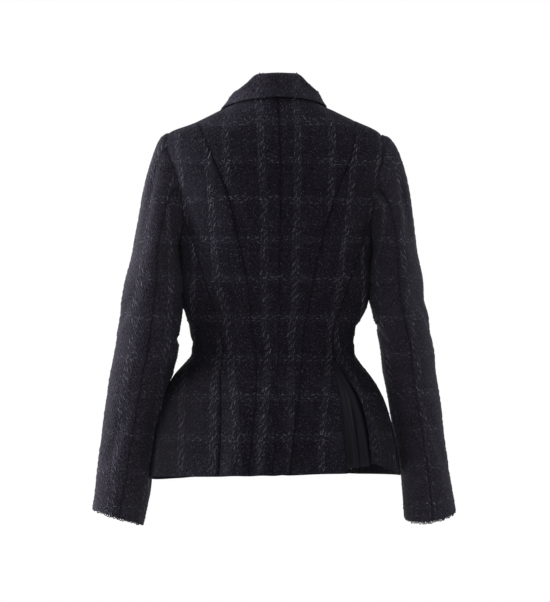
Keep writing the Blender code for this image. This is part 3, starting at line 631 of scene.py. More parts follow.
def read_all(table, columns, at):
    return [read(table, columns, name, at) for name in columns[1:]]


def ease(value, start, end):
    """0 before start, 1 past end, smooth between."""
    t = np.clip((np.asarray(value) - start) / (end - start), 0.0, 1.0)
    return t * t * (3 - 2 * t)


def mix(a, b, share):
    return a + (b - a) * share


def unit(vectors):
    return vectors / np.linalg.norm(vectors, axis=-1, keepdims=True)


def square_to(vectors, ways):
    """Unit vectors along the part of each vector that is square to a unit way."""
    return unit(vectors - ways * np.sum(vectors * ways, axis=-1, keepdims=True))


def on_side(points, sign):
    """Points of the left side, mirrored where the sign is that of the right one."""
    return points * np.array([sign, 1.0, 1.0])


def face_ways(grid):
    return np.cross(np.gradient(grid, axis=0), np.gradient(grid, axis=1))


def point_tree(points):
    tree = kdtree.KDTree(len(points))
    for index, place in enumerate(points):
        tree.insert(place, index)
    tree.balance()
    return tree


def run_length(points, axis=0):
    """Length along a line of points, from its start."""
    points = np.moveaxis(points, axis, 0)
    steps = np.linalg.norm(np.diff(points, axis=0), axis=-1)
    length = np.concatenate([np.zeros_like(steps[:1]), np.cumsum(steps, axis=0)])
    return np.moveaxis(length, 0, axis)


def along_line(points, shares):
    """Places on a line of points, at shares of its length."""
    length = run_length(points)
    return np.stack([np.interp(shares * length[-1], length, points[:, i]) for i in range(3)], axis=1)


def evenly(points, steps):
    """The same line, with equal steps along its length."""
    return along_line(points, np.linspace(0.0, 1.0, steps + 1))


def refined(grid, times):
    """The same surface with more rows and columns, smooth through the given points."""
    for axis, count in enumerate(times):
        grid = np.moveaxis(grid, axis, 0)
        knots = run_length(grid).mean(axis=1)
        tangent = np.gradient(grid, knots, axis=0)
        place = np.linspace(0, len(knots) - 1, (len(knots) - 1) * count + 1)
        span = np.minimum(place.astype(int), len(knots) - 2)
        t = (place - span)[:, None, None]
        step = np.diff(knots)[span][:, None, None]
        grid = np.moveaxis(cubic(grid, tangent, step, span, t), 0, axis)
    return grid


# The body form: superellipse sections; a turn of 0 is the middle back, 1 the side, 2 the middle front


def form_sizes(z):
    return read_all(FORM, FORM_COLUMNS, z)


def on_form(turn, z):
    turn, z = np.broadcast_arrays(np.asarray(turn, float), np.asarray(z, float))
    half_width, back, front, squareness = form_sizes(z)
    across = np.sin(turn * math.pi / 2)
    along = np.cos(turn * math.pi / 2)
    depth = np.where(along >= 0, back, front)
    power = 2 / squareness
    x = half_width * np.sign(across) * np.abs(across) ** power
    y = depth * np.sign(along) * np.abs(along) ** power
    return np.stack([x, y, z], axis=-1)


def turn_at(x, z, face):
    half_width, _, _, squareness = form_sizes(z)
    share = np.clip(np.abs(x) / half_width, 0.0, 1.0)
    quarter = np.sign(x) * np.arcsin(share ** (squareness / 2)) * 2 / math.pi
    return np.where(face > 0, quarter, 2 - quarter)


def across_form(x, z, face):
    """Points of the back or front at distances from the middle."""
    return on_form(turn_at(x, z, face), z)


def turn_of(points):
    face = np.where(points[..., 1] >= 0, BACK, FRONT)
    return turn_at(points[..., 0], points[..., 2], face)


def level(points):
    half_width, back, front, squareness = form_sizes(points[..., 2])
    depth = np.where(points[..., 1] >= 0, back, front)
    across = (np.abs(points[..., 0]) / half_width) ** squareness
    along = (np.abs(points[..., 1]) / depth) ** squareness
    return across + along - 1


def gradient(points):
    small = 1e-5
    parts = []
    for axis in np.eye(3) * small:
        parts.append((level(points + axis) - level(points - axis)) / (2 * small))
    return np.stack(parts, axis=-1)


def normals(points):
    return unit(gradient(points))


def settle(points):
    """Moves points straight onto the form."""
    for _ in range(SETTLE_ROUNDS):
        slope = gradient(points)
        points = points - (level(points) / np.sum(slope * slope, axis=-1))[..., None] * slope
    return points


def girth(turn, z):
    """Length round the body from the middle back to a turn, level with it."""
    share = np.linspace(0.0, 1.0, GIRTH_STEPS + 1)
    path = on_form(turn[..., None] * share, np.asarray(z)[..., None])
    return np.sign(turn) * run_length(np.moveaxis(path, -2, 0))[-1]


# Seam lines on the left side, as rows of points from top to hem


def trace(seam, face, top_z, bottom_z):
    """Points along a seam, close together near the top, where the shoulder rounds over."""
    z = mix(top_z, bottom_z, np.linspace(0.0, 1.0, TRACE_POINTS) ** 2)
    return across_form(read(seam, SEAM_COLUMNS, "x", z), z, face)


def lower_line(table, columns, name, face):
    z = ROW_HEIGHTS[1:]
    return across_form(read(table, columns, name, z), z, face)


def armhole(angles, face):
    """The armhole from its top (angle 0) down its back or front to the underarm (half a turn)."""
    middle = (ARMHOLE_TOP_Z + UNDERARM_Z) / 2
    half = (ARMHOLE_TOP_Z - UNDERARM_Z) / 2
    reach = ARMHOLE_BACK_TURN if face == BACK else ARMHOLE_FRONT_TURN
    spread = reach * np.sin(angles) * (1 - ARMHOLE_LOW * np.cos(angles))
    return on_form(1 - face * spread, middle + half * np.cos(angles))


def of_side(seam, side):
    """One side's seam, from a table with a column for each side."""
    return tuple((row[0], row[PAIR_COLUMNS.index(side.name)]) for row in seam)


def centre_back_line(side):
    z = np.concatenate([np.linspace(NECK_BACK_Z, ROW_HEIGHTS[0], UPPER_STEPS + 1), ROW_HEIGHTS[1:]])
    return across_form(side.sign * read(CENTRE_SEAM, SEAM_COLUMNS, "x", z), z, BACK)


def princess_line(side):
    top_x = float(form_sizes(PRINCESS_TOP_Z)[0])
    seam = ((PRINCESS_TOP_Z, top_x),) + of_side(PRINCESS_SEAM, side)
    upper = evenly(trace(seam, BACK, PRINCESS_TOP_Z, ROW_HEIGHTS[0]), UPPER_STEPS)
    return np.concatenate([settle(upper), lower_line(seam, SEAM_COLUMNS, "x", BACK)])


def side_line(seam, face, vent_edge=None):
    """Armhole edge, then the seam that leaves it; below the waist it may follow an edge of the vent."""
    arm = armhole(np.linspace(0.0, ARM_END, ARM_STEPS + 1), face)
    start = arm[-1]
    seam = ((start[2], start[0]),) + seam
    upper = evenly(trace(seam, face, start[2], ROW_HEIGHTS[0]), SEAM_STEPS)
    lower = lower_line(seam, SEAM_COLUMNS, "x", face)
    if vent_edge:
        vented = ROW_HEIGHTS[1:] < VENT_TOP_Z
        lower[vented] = lower_line(VENT, VENT_COLUMNS, vent_edge, face)[vented]
    return np.concatenate([arm, settle(upper[1:]), lower])


def front_edge_upper(gorge_steps, lapel_steps):
    collar_part = evenly(trace(FRONT_EDGE, FRONT, 0.0, GORGE_Z), gorge_steps)
    lapel_part = evenly(trace(FRONT_EDGE, FRONT, GORGE_Z, ROW_HEIGHTS[0]), lapel_steps)
    return np.concatenate([settle(collar_part), settle(lapel_part[1:])])


def front_edge_line():
    upper = front_edge_upper(GORGE_STEPS, UPPER_STEPS - GORGE_STEPS)
    return np.concatenate([upper, lower_line(FRONT_EDGE, SEAM_COLUMNS, "x", FRONT)])


def neckline(steps):
    turn = np.linspace(0.0, 1.0, steps + 1)
    return on_form(turn, NECK_BACK_Z * np.cos(turn * math.pi / 2))


def shoulder(from_z, to_z, steps):
    return on_form(1.0, np.linspace(from_z, to_z, steps + 1))


# Panels


def patch(top, bottom, left, right):
    """Fills four edges that share their corners and lays the inside on the form."""
    down = np.linspace(0.0, 1.0, len(left))[:, None, None]
    across = np.linspace(0.0, 1.0, len(top))[None, :, None]
    between_ends = mix(top[None], bottom[None], down)
    between_sides = mix(left[:, None], right[:, None], across)
    corners = mix(mix(top[0], top[-1], across), mix(bottom[0], bottom[-1], across), down)
    grid = settle(between_ends + between_sides - corners)
    grid[0], grid[-1], grid[:, 0], grid[:, -1] = top, bottom, left, right
    return grid


def lower_rows(left, right, steps):
    share = np.linspace(0.0, 1.0, steps + 1)
    turn = mix(turn_of(left)[:, None], turn_of(right)[:, None], share)
    z = mix(left[:, 2:], right[:, 2:], share)
    return on_form(turn, z)


def panel(top, left, right, upper_steps):
    """Grid of a panel, rows from its top edge to the hem, columns from its left to its right edge."""
    below = lower_rows(left[upper_steps:], right[upper_steps:], len(top) - 1)
    above = patch(top, below[0], left[: upper_steps + 1], right[: upper_steps + 1])
    return np.concatenate([above, below[1:]])


def part_seams(grid, edges):
    """Carries the named edges a little past the seam line, so that sewn pieces meet."""
    moved = grid.copy()
    pairs = {"top": (0, 1, 0), "bottom": (-1, -2, 0), "left": (0, 1, 1), "right": (-1, -2, 1)}
    for edge in edges:
        at, inside, axis = pairs[edge]
        here, there = np.take(grid, at, axis), np.take(grid, inside, axis)
        run = unit(np.gradient(here, axis=0))
        shift = square_to(there - here, run) * -SEAM_LAP
        if axis == 0:
            moved[at] += shift
        else:
            moved[:, at] += shift
    return moved


def fluted(grid, name):
    """Lets a peplum panel swing out between its seams."""
    depth, waves, span = FLUTES[name]
    share = np.clip(np.linspace(0.0, 1.0 / span, grid.shape[1]), 0.0, 1.0)
    swell = ease(-grid[..., 2], -PEPLUM_TOP_Z, -HEM_Z) * np.sin(math.pi * waves * share) ** 2
    return grid + normals(grid) * (depth * swell)[..., None]


def back_panel(side):
    top = np.concatenate([neckline(NECK_STEPS), shoulder(0.0, PRINCESS_TOP_Z, SHOULDER_STEPS)[1:]])
    grid = panel(top, centre_back_line(side), princess_line(side), UPPER_STEPS)
    return fluted(part_seams(grid, ("top", "left", "right")), "back")


def side_back_panel(side):
    right = side_line(of_side(SIDE_BACK_SEAM, side), BACK, "back_x" if side.vented else None)
    top = shoulder(PRINCESS_TOP_Z, ARMHOLE_TOP_Z, SIDE_BACK_STEPS)
    grid = panel(top, princess_line(side), right, UPPER_STEPS)
    return fluted(part_seams(grid, ("top", "left", "right")), "side_back")


def side_panel(side):
    seam = of_side(SIDE_BACK_SEAM, side)
    left = side_line(seam, BACK, "side_x" if side.vented else None)[ARM_STEPS:]
    right = side_line(SIDE_FRONT_SEAM, FRONT)[ARM_STEPS:]
    angles = np.linspace(ARM_END, math.pi, SIDE_STEPS + 1)
    top = np.concatenate([armhole(angles, BACK), armhole(angles[::-1], FRONT)[1:]])
    grid = part_seams(panel(top, left, right, SEAM_STEPS), ("top", "left", "right"))
    if side.vented:
        grid = vent_edge_turned_out(grid)
    return dropped(grid, side)


def vent_edge_turned_out(grid):
    """The side panel's free edge stands away from the insert, and its hem rises there."""
    near_edge = np.linspace(1.0, 0.0, grid.shape[1])
    swing = ease(-grid[..., 2], -VENT_TOP_Z, -HEM_Z)
    rise = np.clip((VENT_LIFT_TOP_Z - grid[..., 2]) / (VENT_LIFT_TOP_Z - HEM_Z), 0.0, 1.0)
    grid = grid + normals(grid) * (VENT_FLARE * swing * near_edge**VENT_FLARE_FALL)[..., None]
    grid[..., 2] += VENT_HEM_LIFT * near_edge**VENT_LIFT_FALL * rise
    return grid


def lapped(points):
    """Lifts the front that lies on top where it crosses the other one."""
    lift = LAP_LIFT * ease(-points[..., 0], -LAP_START_X, -LAP_FULL_X)
    return points + normals(points) * lift[..., None]


def dropped(grid, side):
    """Lets the peplum hang lower towards the front."""
    share = ease(-grid[..., 2], -PEPLUM_TOP_Z, -HEM_Z)
    share = share * (1 - ease(grid[..., 1], *reversed(side.drop_y)))
    lower = grid.copy()
    lower[..., 2] -= FRONT_DROP * share
    return lower


def front_panel(side):
    top = shoulder(ARMHOLE_TOP_Z, 0.0, FRONT_STEPS)
    grid = panel(top, side_line(SIDE_FRONT_SEAM, FRONT), front_edge_line(), UPPER_STEPS)
    grid = fluted(part_seams(grid, ("top", "left")), "front")
    return dropped(lapped(grid) if side.laps_over else grid, side)


# Collar and lapels: strips that leave an edge, fold over and lie down


def edge_frame(line):
    """Surface normals along an edge line, and the way that leads off the panel."""
    out = normals(line)
    off = unit(np.cross(np.gradient(line, axis=0), out))
    return out, off


def folded_strip(base, out, off, stand, radius, edge, edge_height, lift):
    """Middle surface of a strip, one section per base point; lift lays a point down on the form."""
    out = square_to(out, off)
    start = base - out * WALL / 2
    top = start + off * stand[:, None]
    rows = [mix(start, top, share) for share in (0.0, 0.5, 1.0)]
    for angle in (math.pi / 4, math.pi / 2, 3 * math.pi / 4):
        turn = (1 - math.cos(angle)) * out + math.sin(angle) * off
        rows.append(top + radius[:, None] * turn)
    for share in np.linspace(0.0, 1.0, FALL_STEPS + 1):
        laid = lift(mix(base, edge, share), share)
        height = mix(2 * radius - WALL / 2, edge_height, share)[:, None]
        way = unit(mix(out, normals(laid), share))
        rows.append(laid + way * height + off * (stand * (1 - share))[:, None])
    return np.stack(rows, axis=1)


def strip_edge_line():
    return front_edge_upper(STRIP_GORGE_STEPS, STRIP_LAPEL_STEPS)


def collar_grid():
    """Half the collar from the middle back to its front end, then the whole."""
    line = np.concatenate([neckline(STRIP_NECK_STEPS), strip_edge_line()[1:]])
    out, off = edge_frame(line)
    count = STRIP_NECK_STEPS + STRIP_GORGE_STEPS + 1
    stations = np.arange(count)
    stand, upright, lift = read_all(COLLAR, COLLAR_COLUMNS, stations)
    base = line[:count] + off[:count] * (STRIP_OFFSET - COLLAR_TUCK)
    base[-1] -= unit(line[count - 1] - line[count - 2]) * GORGE_GAP
    rising = unit(mix(off[:count], np.array([0.0, 0.0, 1.0]), upright[:, None]))
    rising[0] = unit(rising[0] * np.array([0.0, 1.0, 1.0]))
    turn = np.linspace(0.0, 1.0, STRIP_NECK_STEPS + 1)
    back_edge = on_form(turn, read(COLLAR_EDGE_BACK, COLLAR_EDGE_COLUMNS, "z", turn))
    front_z = [row[0] for row in COLLAR_EDGE_FRONT]
    front_edge = evenly(trace(COLLAR_EDGE_FRONT, FRONT, front_z[0], front_z[-1]), STRIP_GORGE_STEPS)
    edge = np.concatenate([back_edge, settle(front_edge[1:])])
    radius = read(FOLD_RADIUS, FOLD_RADIUS_COLUMNS, "radius", base[:, 2])
    at_end = (stations == stations[-1])[:, None] * np.array(COLLAR_NOTCH_DIP)

    def dipped(points, share):
        return settle(points + at_end * math.sin(math.pi * share))

    half = folded_strip(base, out[:count], rising, stand + COLLAR_TUCK, radius, edge, lift, dipped)
    return refined(np.concatenate([on_side(half[:0:-1], -1), half]), STRIP_REFINED)


def lapel_grid(side):
    line = strip_edge_line()
    out, off = edge_frame(np.concatenate([neckline(STRIP_NECK_STEPS)[:-1], line]))
    rows = slice(STRIP_GORGE_STEPS, STRIP_GORGE_STEPS + side.lapel_steps + 1)
    out, off = out[STRIP_NECK_STEPS:][rows], off[STRIP_NECK_STEPS:][rows]

    def laid(points, _share=0.0):
        return lapped(settle(points)) if side.laps_over else settle(points)

    base = laid(line[rows]) + off * STRIP_OFFSET
    base[0] += unit(line[STRIP_GORGE_STEPS + 1] - line[STRIP_GORGE_STEPS]) * GORGE_GAP
    edge_z = [row[0] for row in LAPEL_EDGE]
    whole_steps = max(other.lapel_steps for other in SIDES)
    edge = evenly(trace(LAPEL_EDGE, FRONT, edge_z[0], edge_z[-1]), whole_steps)[: side.lapel_steps + 1]
    stand = np.full(len(base), LAPEL_STAND)
    radius = read(FOLD_RADIUS, FOLD_RADIUS_COLUMNS, "radius", base[:, 2])
    strip = folded_strip(base, out, off, stand, radius, settle(edge), LAPEL_LIFT, laid)
    return refined(strip, STRIP_REFINED)


# Sleeves


def clear_of_body(points):
    """Presses the side of a sleeve that meets the body out to just clear of it."""
    slope = gradient(points)
    steepness = np.linalg.norm(slope, axis=-1)
    push = np.maximum(SLEEVE_CLEARANCE - level(points) / steepness, 0.0)
    return points + slope * (push / steepness)[..., None]


def sleeve_rings(side):
    """Rings of the left-hand sleeve shape, from the bicep to the cuff, with the breadth of this side."""
    z = np.linspace(BICEP_Z, CUFF_Z, SLEEVE_STEPS + 1)
    x, across, deep, y = read_all(SLEEVE, SLEEVE_COLUMNS, z)
    own = ease(-z, -BICEP_Z, -FULL_Z)
    breadth = np.interp(-z, (-CUFF_TOP_Z, -CUFF_Z), side.breadth)
    across = across * mix(1.0, breadth, own)
    deep = deep * mix(1.0, 2 - breadth, own)
    elbow, cuff = side.reach
    reach = smooth(REACH_HEIGHTS, (0.0, elbow, elbow, cuff), z)
    middle = np.stack([x + reach, y, z], axis=1)
    along = unit(np.gradient(middle, axis=0))
    outward = unit(np.cross(np.array([0.0, 1.0, 0.0]), along) * -1)
    backward = unit(np.cross(along, outward))
    backward *= np.sign(backward[:, 1:2])
    angle = np.arange(RING_POINTS) * 2 * math.pi / RING_POINTS
    ring = across[:, None, None] * np.cos(angle)[None, :, None] * outward[:, None]
    ring = ring + deep[:, None, None] * np.sin(angle)[None, :, None] * backward[:, None]
    rise = side.cuff_rise * np.cos(angle) - side.cuff_drop * np.sin(angle)
    at_cuff = ease(-z, -CUFF_TOP_Z, -CUFF_Z)
    ring = ring - (at_cuff[:, None] * rise)[..., None] * along[:, None]
    return clear_of_body(middle[:, None] + ring)


def sleeve_grid(side):
    """Whole sleeve: rows from the armhole to the cuff, columns round the arm from its outer side."""
    tube = sleeve_rings(side)
    half = RING_POINTS // 2
    angles = np.arange(half + 1) * math.pi / half
    seam = np.concatenate([armhole(angles, BACK), armhole(angles[::-1], FRONT)[1:-1]])
    centre = seam.mean(axis=0)
    radial = unit((seam - centre) * np.array([0.0, 1.0, 1.0]))
    head, spring = side.head
    spring = mix(spring, UNDERARM_SPRING, ease(-radial[:, 2:], UNDERARM_FROM, 1.0))
    leaving = unit(np.array([1.0, 0.0, 0.0]) + spring * radial)
    seam = seam - leaving * ARMHOLE_TUCK + radial * ARMHOLE_LAP
    reach = np.linalg.norm(tube[0] - seam, axis=1)[:, None]
    first = seam + leaving * (CAP_START + head * reach)
    last = tube[0] - unit(tube[1] - tube[0]) * CAP_END * reach
    rows = []
    for t in np.linspace(0.0, 1.0, CAP_STEPS + 1)[:-1]:
        rows.append(
            (1 - t) ** 3 * seam + 3 * (1 - t) ** 2 * t * first + 3 * (1 - t) * t**2 * last + t**3 * tube[0]
        )
    return np.concatenate([np.array(rows), tube])


def insert_grid():
    """Pleated cloth that fills the open vent, tucked behind the edges of both panels."""
    z = np.linspace(INSERT_TOP_Z, INSERT_HEM_Z, INSERT_ROWS)
    opening = ease(-z, -VENT_TOP_Z, -HEM_Z)
    back_x = read(VENT, VENT_COLUMNS, "back_x", z) - INSERT_TUCK_BACK
    side_x = read(VENT, VENT_COLUMNS, "side_x", z) + mix(*INSERT_TUCK_SIDE, opening)
    share = np.linspace(0.0, 1.0, INSERT_STEPS + 1)
    turn = mix(turn_at(back_x, z, BACK)[:, None], turn_at(side_x, z, BACK)[:, None], share)
    height = z[:, None] + INSERT_HEM_LIFT * opening[:, None] ** 2 * share**3
    grid = on_form(turn, height)
    fold = np.sin(math.pi * INSERT_FOLDS * share) ** 2
    depth = INSERT_CLEARANCE + INSERT_FOLD_DEPTH * opening[:, None] * fold
    return grid - normals(grid) * depth[..., None]


# Cloth: a grid with its outward way and its own coordinates, along the weft (u) and the warp (v)

Cloth = namedtuple("Cloth", "piece side grid out u v shift")


def grid_normals(grid, outwards):
    """Normals of a grid, on the side that the given ways point to."""
    way = unit(face_ways(grid))
    return way * np.sign(np.sum(way * outwards))


def edged(grid):
    """Adds a row and a column close inside each edge, so that the edges can roll in."""
    for axis in (0, 1):
        grid = np.moveaxis(grid, axis, 0)
        first = mix(grid[0], grid[1], EDGE_SHARE)[None]
        last = mix(grid[-1], grid[-2], EDGE_SHARE)[None]
        grid = np.concatenate([grid[:1], first, grid[1:-1], last, grid[-1:]])
        grid = np.moveaxis(grid, 0, axis)
    return grid


def waver(points):
    """Slow unevenness of cloth that no press leaves quite flat."""
    total = np.zeros(points.shape[:-1])
    for *turns, phase, depth in WAVER:
        total += depth * np.sin(points @ np.array(turns) + phase)
    return total


def creases(piece, side, u, v):
    """Soft troughs with a slight ridge on both flanks."""
    total = np.zeros_like(u)
    for crease in map(Crease._make, CREASES):
        if crease.piece != piece or crease.side not in (0, side.sign):
            continue
        angle = math.radians(crease.angle)
        du, dv = u - crease.u, v - crease.v
        along = (du * math.cos(angle) + dv * math.sin(angle)) / crease.half_length
        across = (dv * math.cos(angle) - du * math.sin(angle)) / crease.half_width
        total -= crease.depth * (1 - CREASE_RIDGE * across**2) * np.exp(-(across**2) - along**2)
    return total


def on_own_side(piece, side, grid, out, u, v, shift):
    sign = side.sign
    return Cloth(piece, side, on_side(grid, sign), on_side(out, sign), u * sign, v, shift)


def dressed(piece, side, grid, outwards, lift, u, v, shift):
    """Cloth of one side, wavered and creased."""
    out = grid_normals(grid, outwards)
    grid = grid + out * (waver(grid) + lift)[..., None]
    return on_own_side(piece, side, grid, grid_normals(grid, outwards), u, v, shift)


def body_cloth(piece, side, make):
    grid = edged(make(side))
    z = grid[..., 2]
    around = girth(turn_of(grid), z)
    lift = creases(piece, side, around - girth(np.full_like(z, CREASE_TURN[piece]), z), z)
    band = read(BAND_LINES[piece], PAIR_COLUMNS, side.name, z)
    u = around - girth(turn_at(band, z, FRONT if piece == "front" else BACK), z)
    return dressed(piece, side, grid, normals(grid), lift, u, z, 0.0)


def sleeve_cloth(piece, side, whole, first, last):
    columns = np.arange(first, last + 1)
    grid = edged(part_seams(whole[:, columns % RING_POINTS], ("left", "right")))
    outwards = grid - whole.mean(axis=1).mean(axis=0)
    ring = np.concatenate([whole, whole[:, :1]], axis=1)
    radius = run_length(ring, axis=1)[:, -1:] / (2 * math.pi)
    turned = columns - RING_POINTS if first == FORE_SEAM else columns
    u = edged(radius * (turned * 2 * math.pi / RING_POINTS)[None, :])
    down = run_length(whole, axis=0)[:, columns % RING_POINTS]
    v = edged(whole[CAP_STEPS, :, 2].mean() - (down - down[CAP_STEPS]))
    return dressed(piece, side, grid, outwards, creases(piece, side, u, v), u, v, SLEEVE_BAND)


def strip_cloth(piece, side, strip):
    """A folded strip about its middle surface; its outer side is the one that shows on the fall."""
    middle = len(strip) // 2 if piece == "collar" else 0
    fold = FOLD_ROW * STRIP_REFINED[1]
    way = unit(face_ways(strip))
    way = way * np.sign(np.sum(way[:, -1] * normals(strip[:, -1])))
    grid = edged(strip + way * WALL / 2)
    along = run_length(strip[:, fold])
    u = edged(np.repeat((along - along[middle])[:, None], strip.shape[1], axis=1))
    across = run_length(strip, axis=1)
    v = edged(across[:, fold : fold + 1] - across)
    return on_own_side(piece, side, grid, unit(edged(way)), u, v, STRIP_BAND)


# Meshes


def tilted(points):
    slope, sway = read_all(TILT, TILT_COLUMNS, points[..., 2])
    moved = points.copy()
    moved[..., 2] += slope * points[..., 0]
    moved[..., 0] += sway
    return moved


def mesh_object(name, points, faces, materials, sharp_angle=SHARP_ANGLE):
    mesh = bpy.data.meshes.new(name)
    mesh.from_pydata(points.tolist(), [], faces.tolist())
    for material in materials:
        mesh.materials.append(material)
    mesh.shade_smooth()
    mesh.set_sharp_from_angle(angle=math.radians(sharp_angle))
    thing = bpy.data.objects.new(name, mesh)
    bpy.context.scene.collection.objects.link(thing)
    return thing


def point_values(thing, name, kind, values):
    layer = thing.data.attributes.new(name, kind, "POINT")
    field = "vector" if kind == "FLOAT_VECTOR" else "value"
    layer.data.foreach_set(field, np.ascontiguousarray(values).ravel())


def edge_weight(shape, values):
    """The given values on the outermost rows and columns, edge first, and 0 inside them."""
    weight = np.zeros(shape)
    for depth, value in reversed(list(enumerate(values))):
        weight[depth], weight[-1 - depth] = value, value
        weight[:, depth], weight[:, -1 - depth] = np.maximum(weight[:, (depth, -1 - depth)], value).T
    return weight


def seam_weight(cloth):
    """Weight of the painted shade along the sewn edges; hems, cuffs, the fall of a collar and the vent's
    edge are free.
    """
    rows, columns = cloth.u.shape
    more = len(SHADE_ROWS)
    if cloth.piece in ("collar", "lapel"):
        return edge_weight((rows, columns + more), SHADE_ROWS)[:, :columns]
    weight = edge_weight((rows + more, columns), SHADE_ROWS)[:rows]
    if cloth.piece == "side" and cloth.side.vented:
        weight[:, :more] *= cloth.v[:, :more] > VENT_TOP_Z
    return weight


def left_hand(points):
    return np.concatenate([np.abs(points[..., :1]), points[..., 1:]], axis=-1)


def close_shade(cloth):
    """Painted shade where sleeve and body touch below the armhole; none where they are well apart."""
    points = left_hand(cloth.grid)
    z = points[..., 2]
    if cloth.piece.endswith("sleeve"):
        strengths, (near, far), depths = CLOSE_BY["sleeve"]
        distance = level(points) / np.linalg.norm(gradient(points), axis=-1)
    else:
        strengths, (near, far), depths = CLOSE_BY["body"]
        x, across, deep, y = read_all(SLEEVE, SLEEVE_COLUMNS, z)
        share = np.hypot((points[..., 0] - x) / across, (points[..., 1] - y) / deep)
        distance = (share - 1) * (across + deep) / 2
    strength = strengths[cloth.side.name]
    return strength * ease(-distance, -far, -near) * ease(-z, *depths)


def by_armhole(points):
    """1 at the armhole seams, 0 away from them."""
    angles = np.linspace(0.0, math.pi, 4 * ARM_STEPS)
    tree = point_tree(np.concatenate([armhole(angles, BACK), armhole(angles, FRONT)]))
    distance = np.array([tree.find(place)[2] for place in left_hand(points).reshape(-1, 3)])
    return ease(-distance.reshape(points.shape[:-1]), -ARMHOLE_NEAR[0], -ARMHOLE_NEAR[1])


def wall_mesh(name, cloth, thickness, materials):
    """Closed wall under a grid: outer face, rim and plain inside."""
    flatter = by_armhole(cloth.grid)
    roll = EDGE_ROLL * edge_weight(cloth.u.shape, ROLL_ROWS) * mix(1.0, ARMHOLE_ROLL, flatter)
    roll = cloth.out * roll[..., None]
    outer = cloth.grid - roll
    inner = cloth.grid - cloth.out * thickness + roll * (thickness / WALL) / 2
    rows, columns = cloth.u.shape
    count = rows * columns
    index = np.arange(count).reshape(rows, columns)
    corners = (index[:-1, :-1], index[1:, :-1], index[1:, 1:], index[:-1, 1:])
    top = np.stack([corner.ravel() for corner in corners], axis=1)
    rim = np.concatenate([index[0], index[1:, -1], index[-1, -2::-1], index[-2:0:-1, 0]])
    after = np.roll(rim, -1)
    band = np.stack([rim, after, after + count, rim + count], axis=1)
    faces = np.concatenate([top, band, top[:, ::-1] + count])
    if np.sum(face_ways(outer) * cloth.out) < 0:
        faces = faces[:, ::-1]
    points = np.concatenate([outer.reshape(-1, 3), inner.reshape(-1, 3)])
    thing = mesh_object(name, tilted(points), faces, materials)
    if len(materials) > 1:
        inside = np.zeros(len(faces), np.int32)
        inside[len(top) + len(band) :] = 1
        thing.data.polygons.foreach_set("material_index", inside)
    own = np.stack([cloth.u + cloth.shift, cloth.v, np.zeros_like(cloth.u)], axis=-1).reshape(-1, 3)
    point_values(thing, "cloth", "FLOAT_VECTOR", np.concatenate([own, own]))
    # Painted shade: the seam attribute carries the shade painted along the seams and where sleeve and body
    # come close
    seam = seam_weight(cloth) * mix(1.0, ARMHOLE_SHADE, flatter)
    seam = np.maximum(seam, close_shade(cloth)).ravel()
    point_values(thing, "seam", "FLOAT", np.concatenate([seam, seam]))
    return thing


# Yarns: spindles laid on the cloth along its own directions

Yarns = namedtuple("Yarns", "u v du dv length width shade")


def lattice(low, high, pitch, shift):
    first, last = math.ceil((low - shift) / pitch), math.floor((high - shift) / pitch)
    return np.arange(first, last + 1) * pitch + shift


def float_yarns(u, v, way, length, set_of_yarns, random):
    """Floats of the check, uneven in place, length, way and tone, with some missing."""
    kept = random.random(len(u)) > set_of_yarns.missing
    u, v = u[kept], v[kept]
    count = len(u)
    u = u + random.normal(0.0, set_of_yarns.stray, count)
    v = v + random.normal(0.0, set_of_yarns.stray, count)
    du, dv = (part + random.normal(0.0, set_of_yarns.waver, count) for part in way)
    length = length * random.uniform(*FLOAT_LENGTH_RANGE, count)
    width = FLOAT_WIDTH * random.uniform(*FLOAT_WIDTH_RANGE, count)
    shade = random.normal(set_of_yarns.tone, FLOAT_TONE_SPREAD, count)
    return Yarns(u, v, du, dv, length, width, np.clip(shade, *FLOAT_TONE_RANGE))


def check_yarns(cloth, random):
    u_range, v_range = (cloth.u.min(), cloth.u.max()), (cloth.v.min(), cloth.v.max())
    offsets = (np.arange(BAND_YARNS) - (BAND_YARNS - 1) / 2) * BAND_PITCH
    sets = []
    for order, offset in enumerate(offsets):
        u = lattice(*u_range, CHECK_WIDTH, offset - cloth.shift)
        v = lattice(*v_range, FLOAT_PITCH, -order * WARP_STAGGER * FLOAT_PITCH)
        u, v = (part.ravel() for part in np.meshgrid(u, v))
        sets.append(float_yarns(u, v, (-WARP_LEAN, 1.0), FLOAT_LENGTH, WARP_FLOATS, random))
        if cloth.piece == "collar":
            continue
        u = lattice(*u_range, FLOAT_PITCH, order * WEFT_STAGGER * FLOAT_PITCH)
        v = lattice(*v_range, CHECK_HEIGHT, CHECK_START_Z + offset)
        u, v = (part.ravel() for part in np.meshgrid(u, v))
        sets.append(float_yarns(u, v, (1.0, 0.0), WEFT_FLOAT_LENGTH, WEFT_FLOATS, random))
    return sets


def nub_yarns(cloth, random):
    """Short loops of the ground yarn, strewn over the cloth."""
    width, height = np.ptp(cloth.u), np.ptp(cloth.v)
    count = int(NUBS_PER_M2 * width * height)
    u = cloth.u.min() + width * random.random(count)
    v = cloth.v.min() + height * random.random(count)
    angle = random.uniform(0.0, 2 * math.pi, count)
    bright = random.random(count) < NUB_BRIGHT
    tones = [random.uniform(*tone, count) for tone in (NUB_BRIGHT_TONE, NUB_DARK_TONE)]
    length, width = (random.uniform(*size, count) for size in (NUB_LENGTH, NUB_WIDTH))
    return Yarns(u, v, np.cos(angle), np.sin(angle), length, width, np.where(bright, *tones))


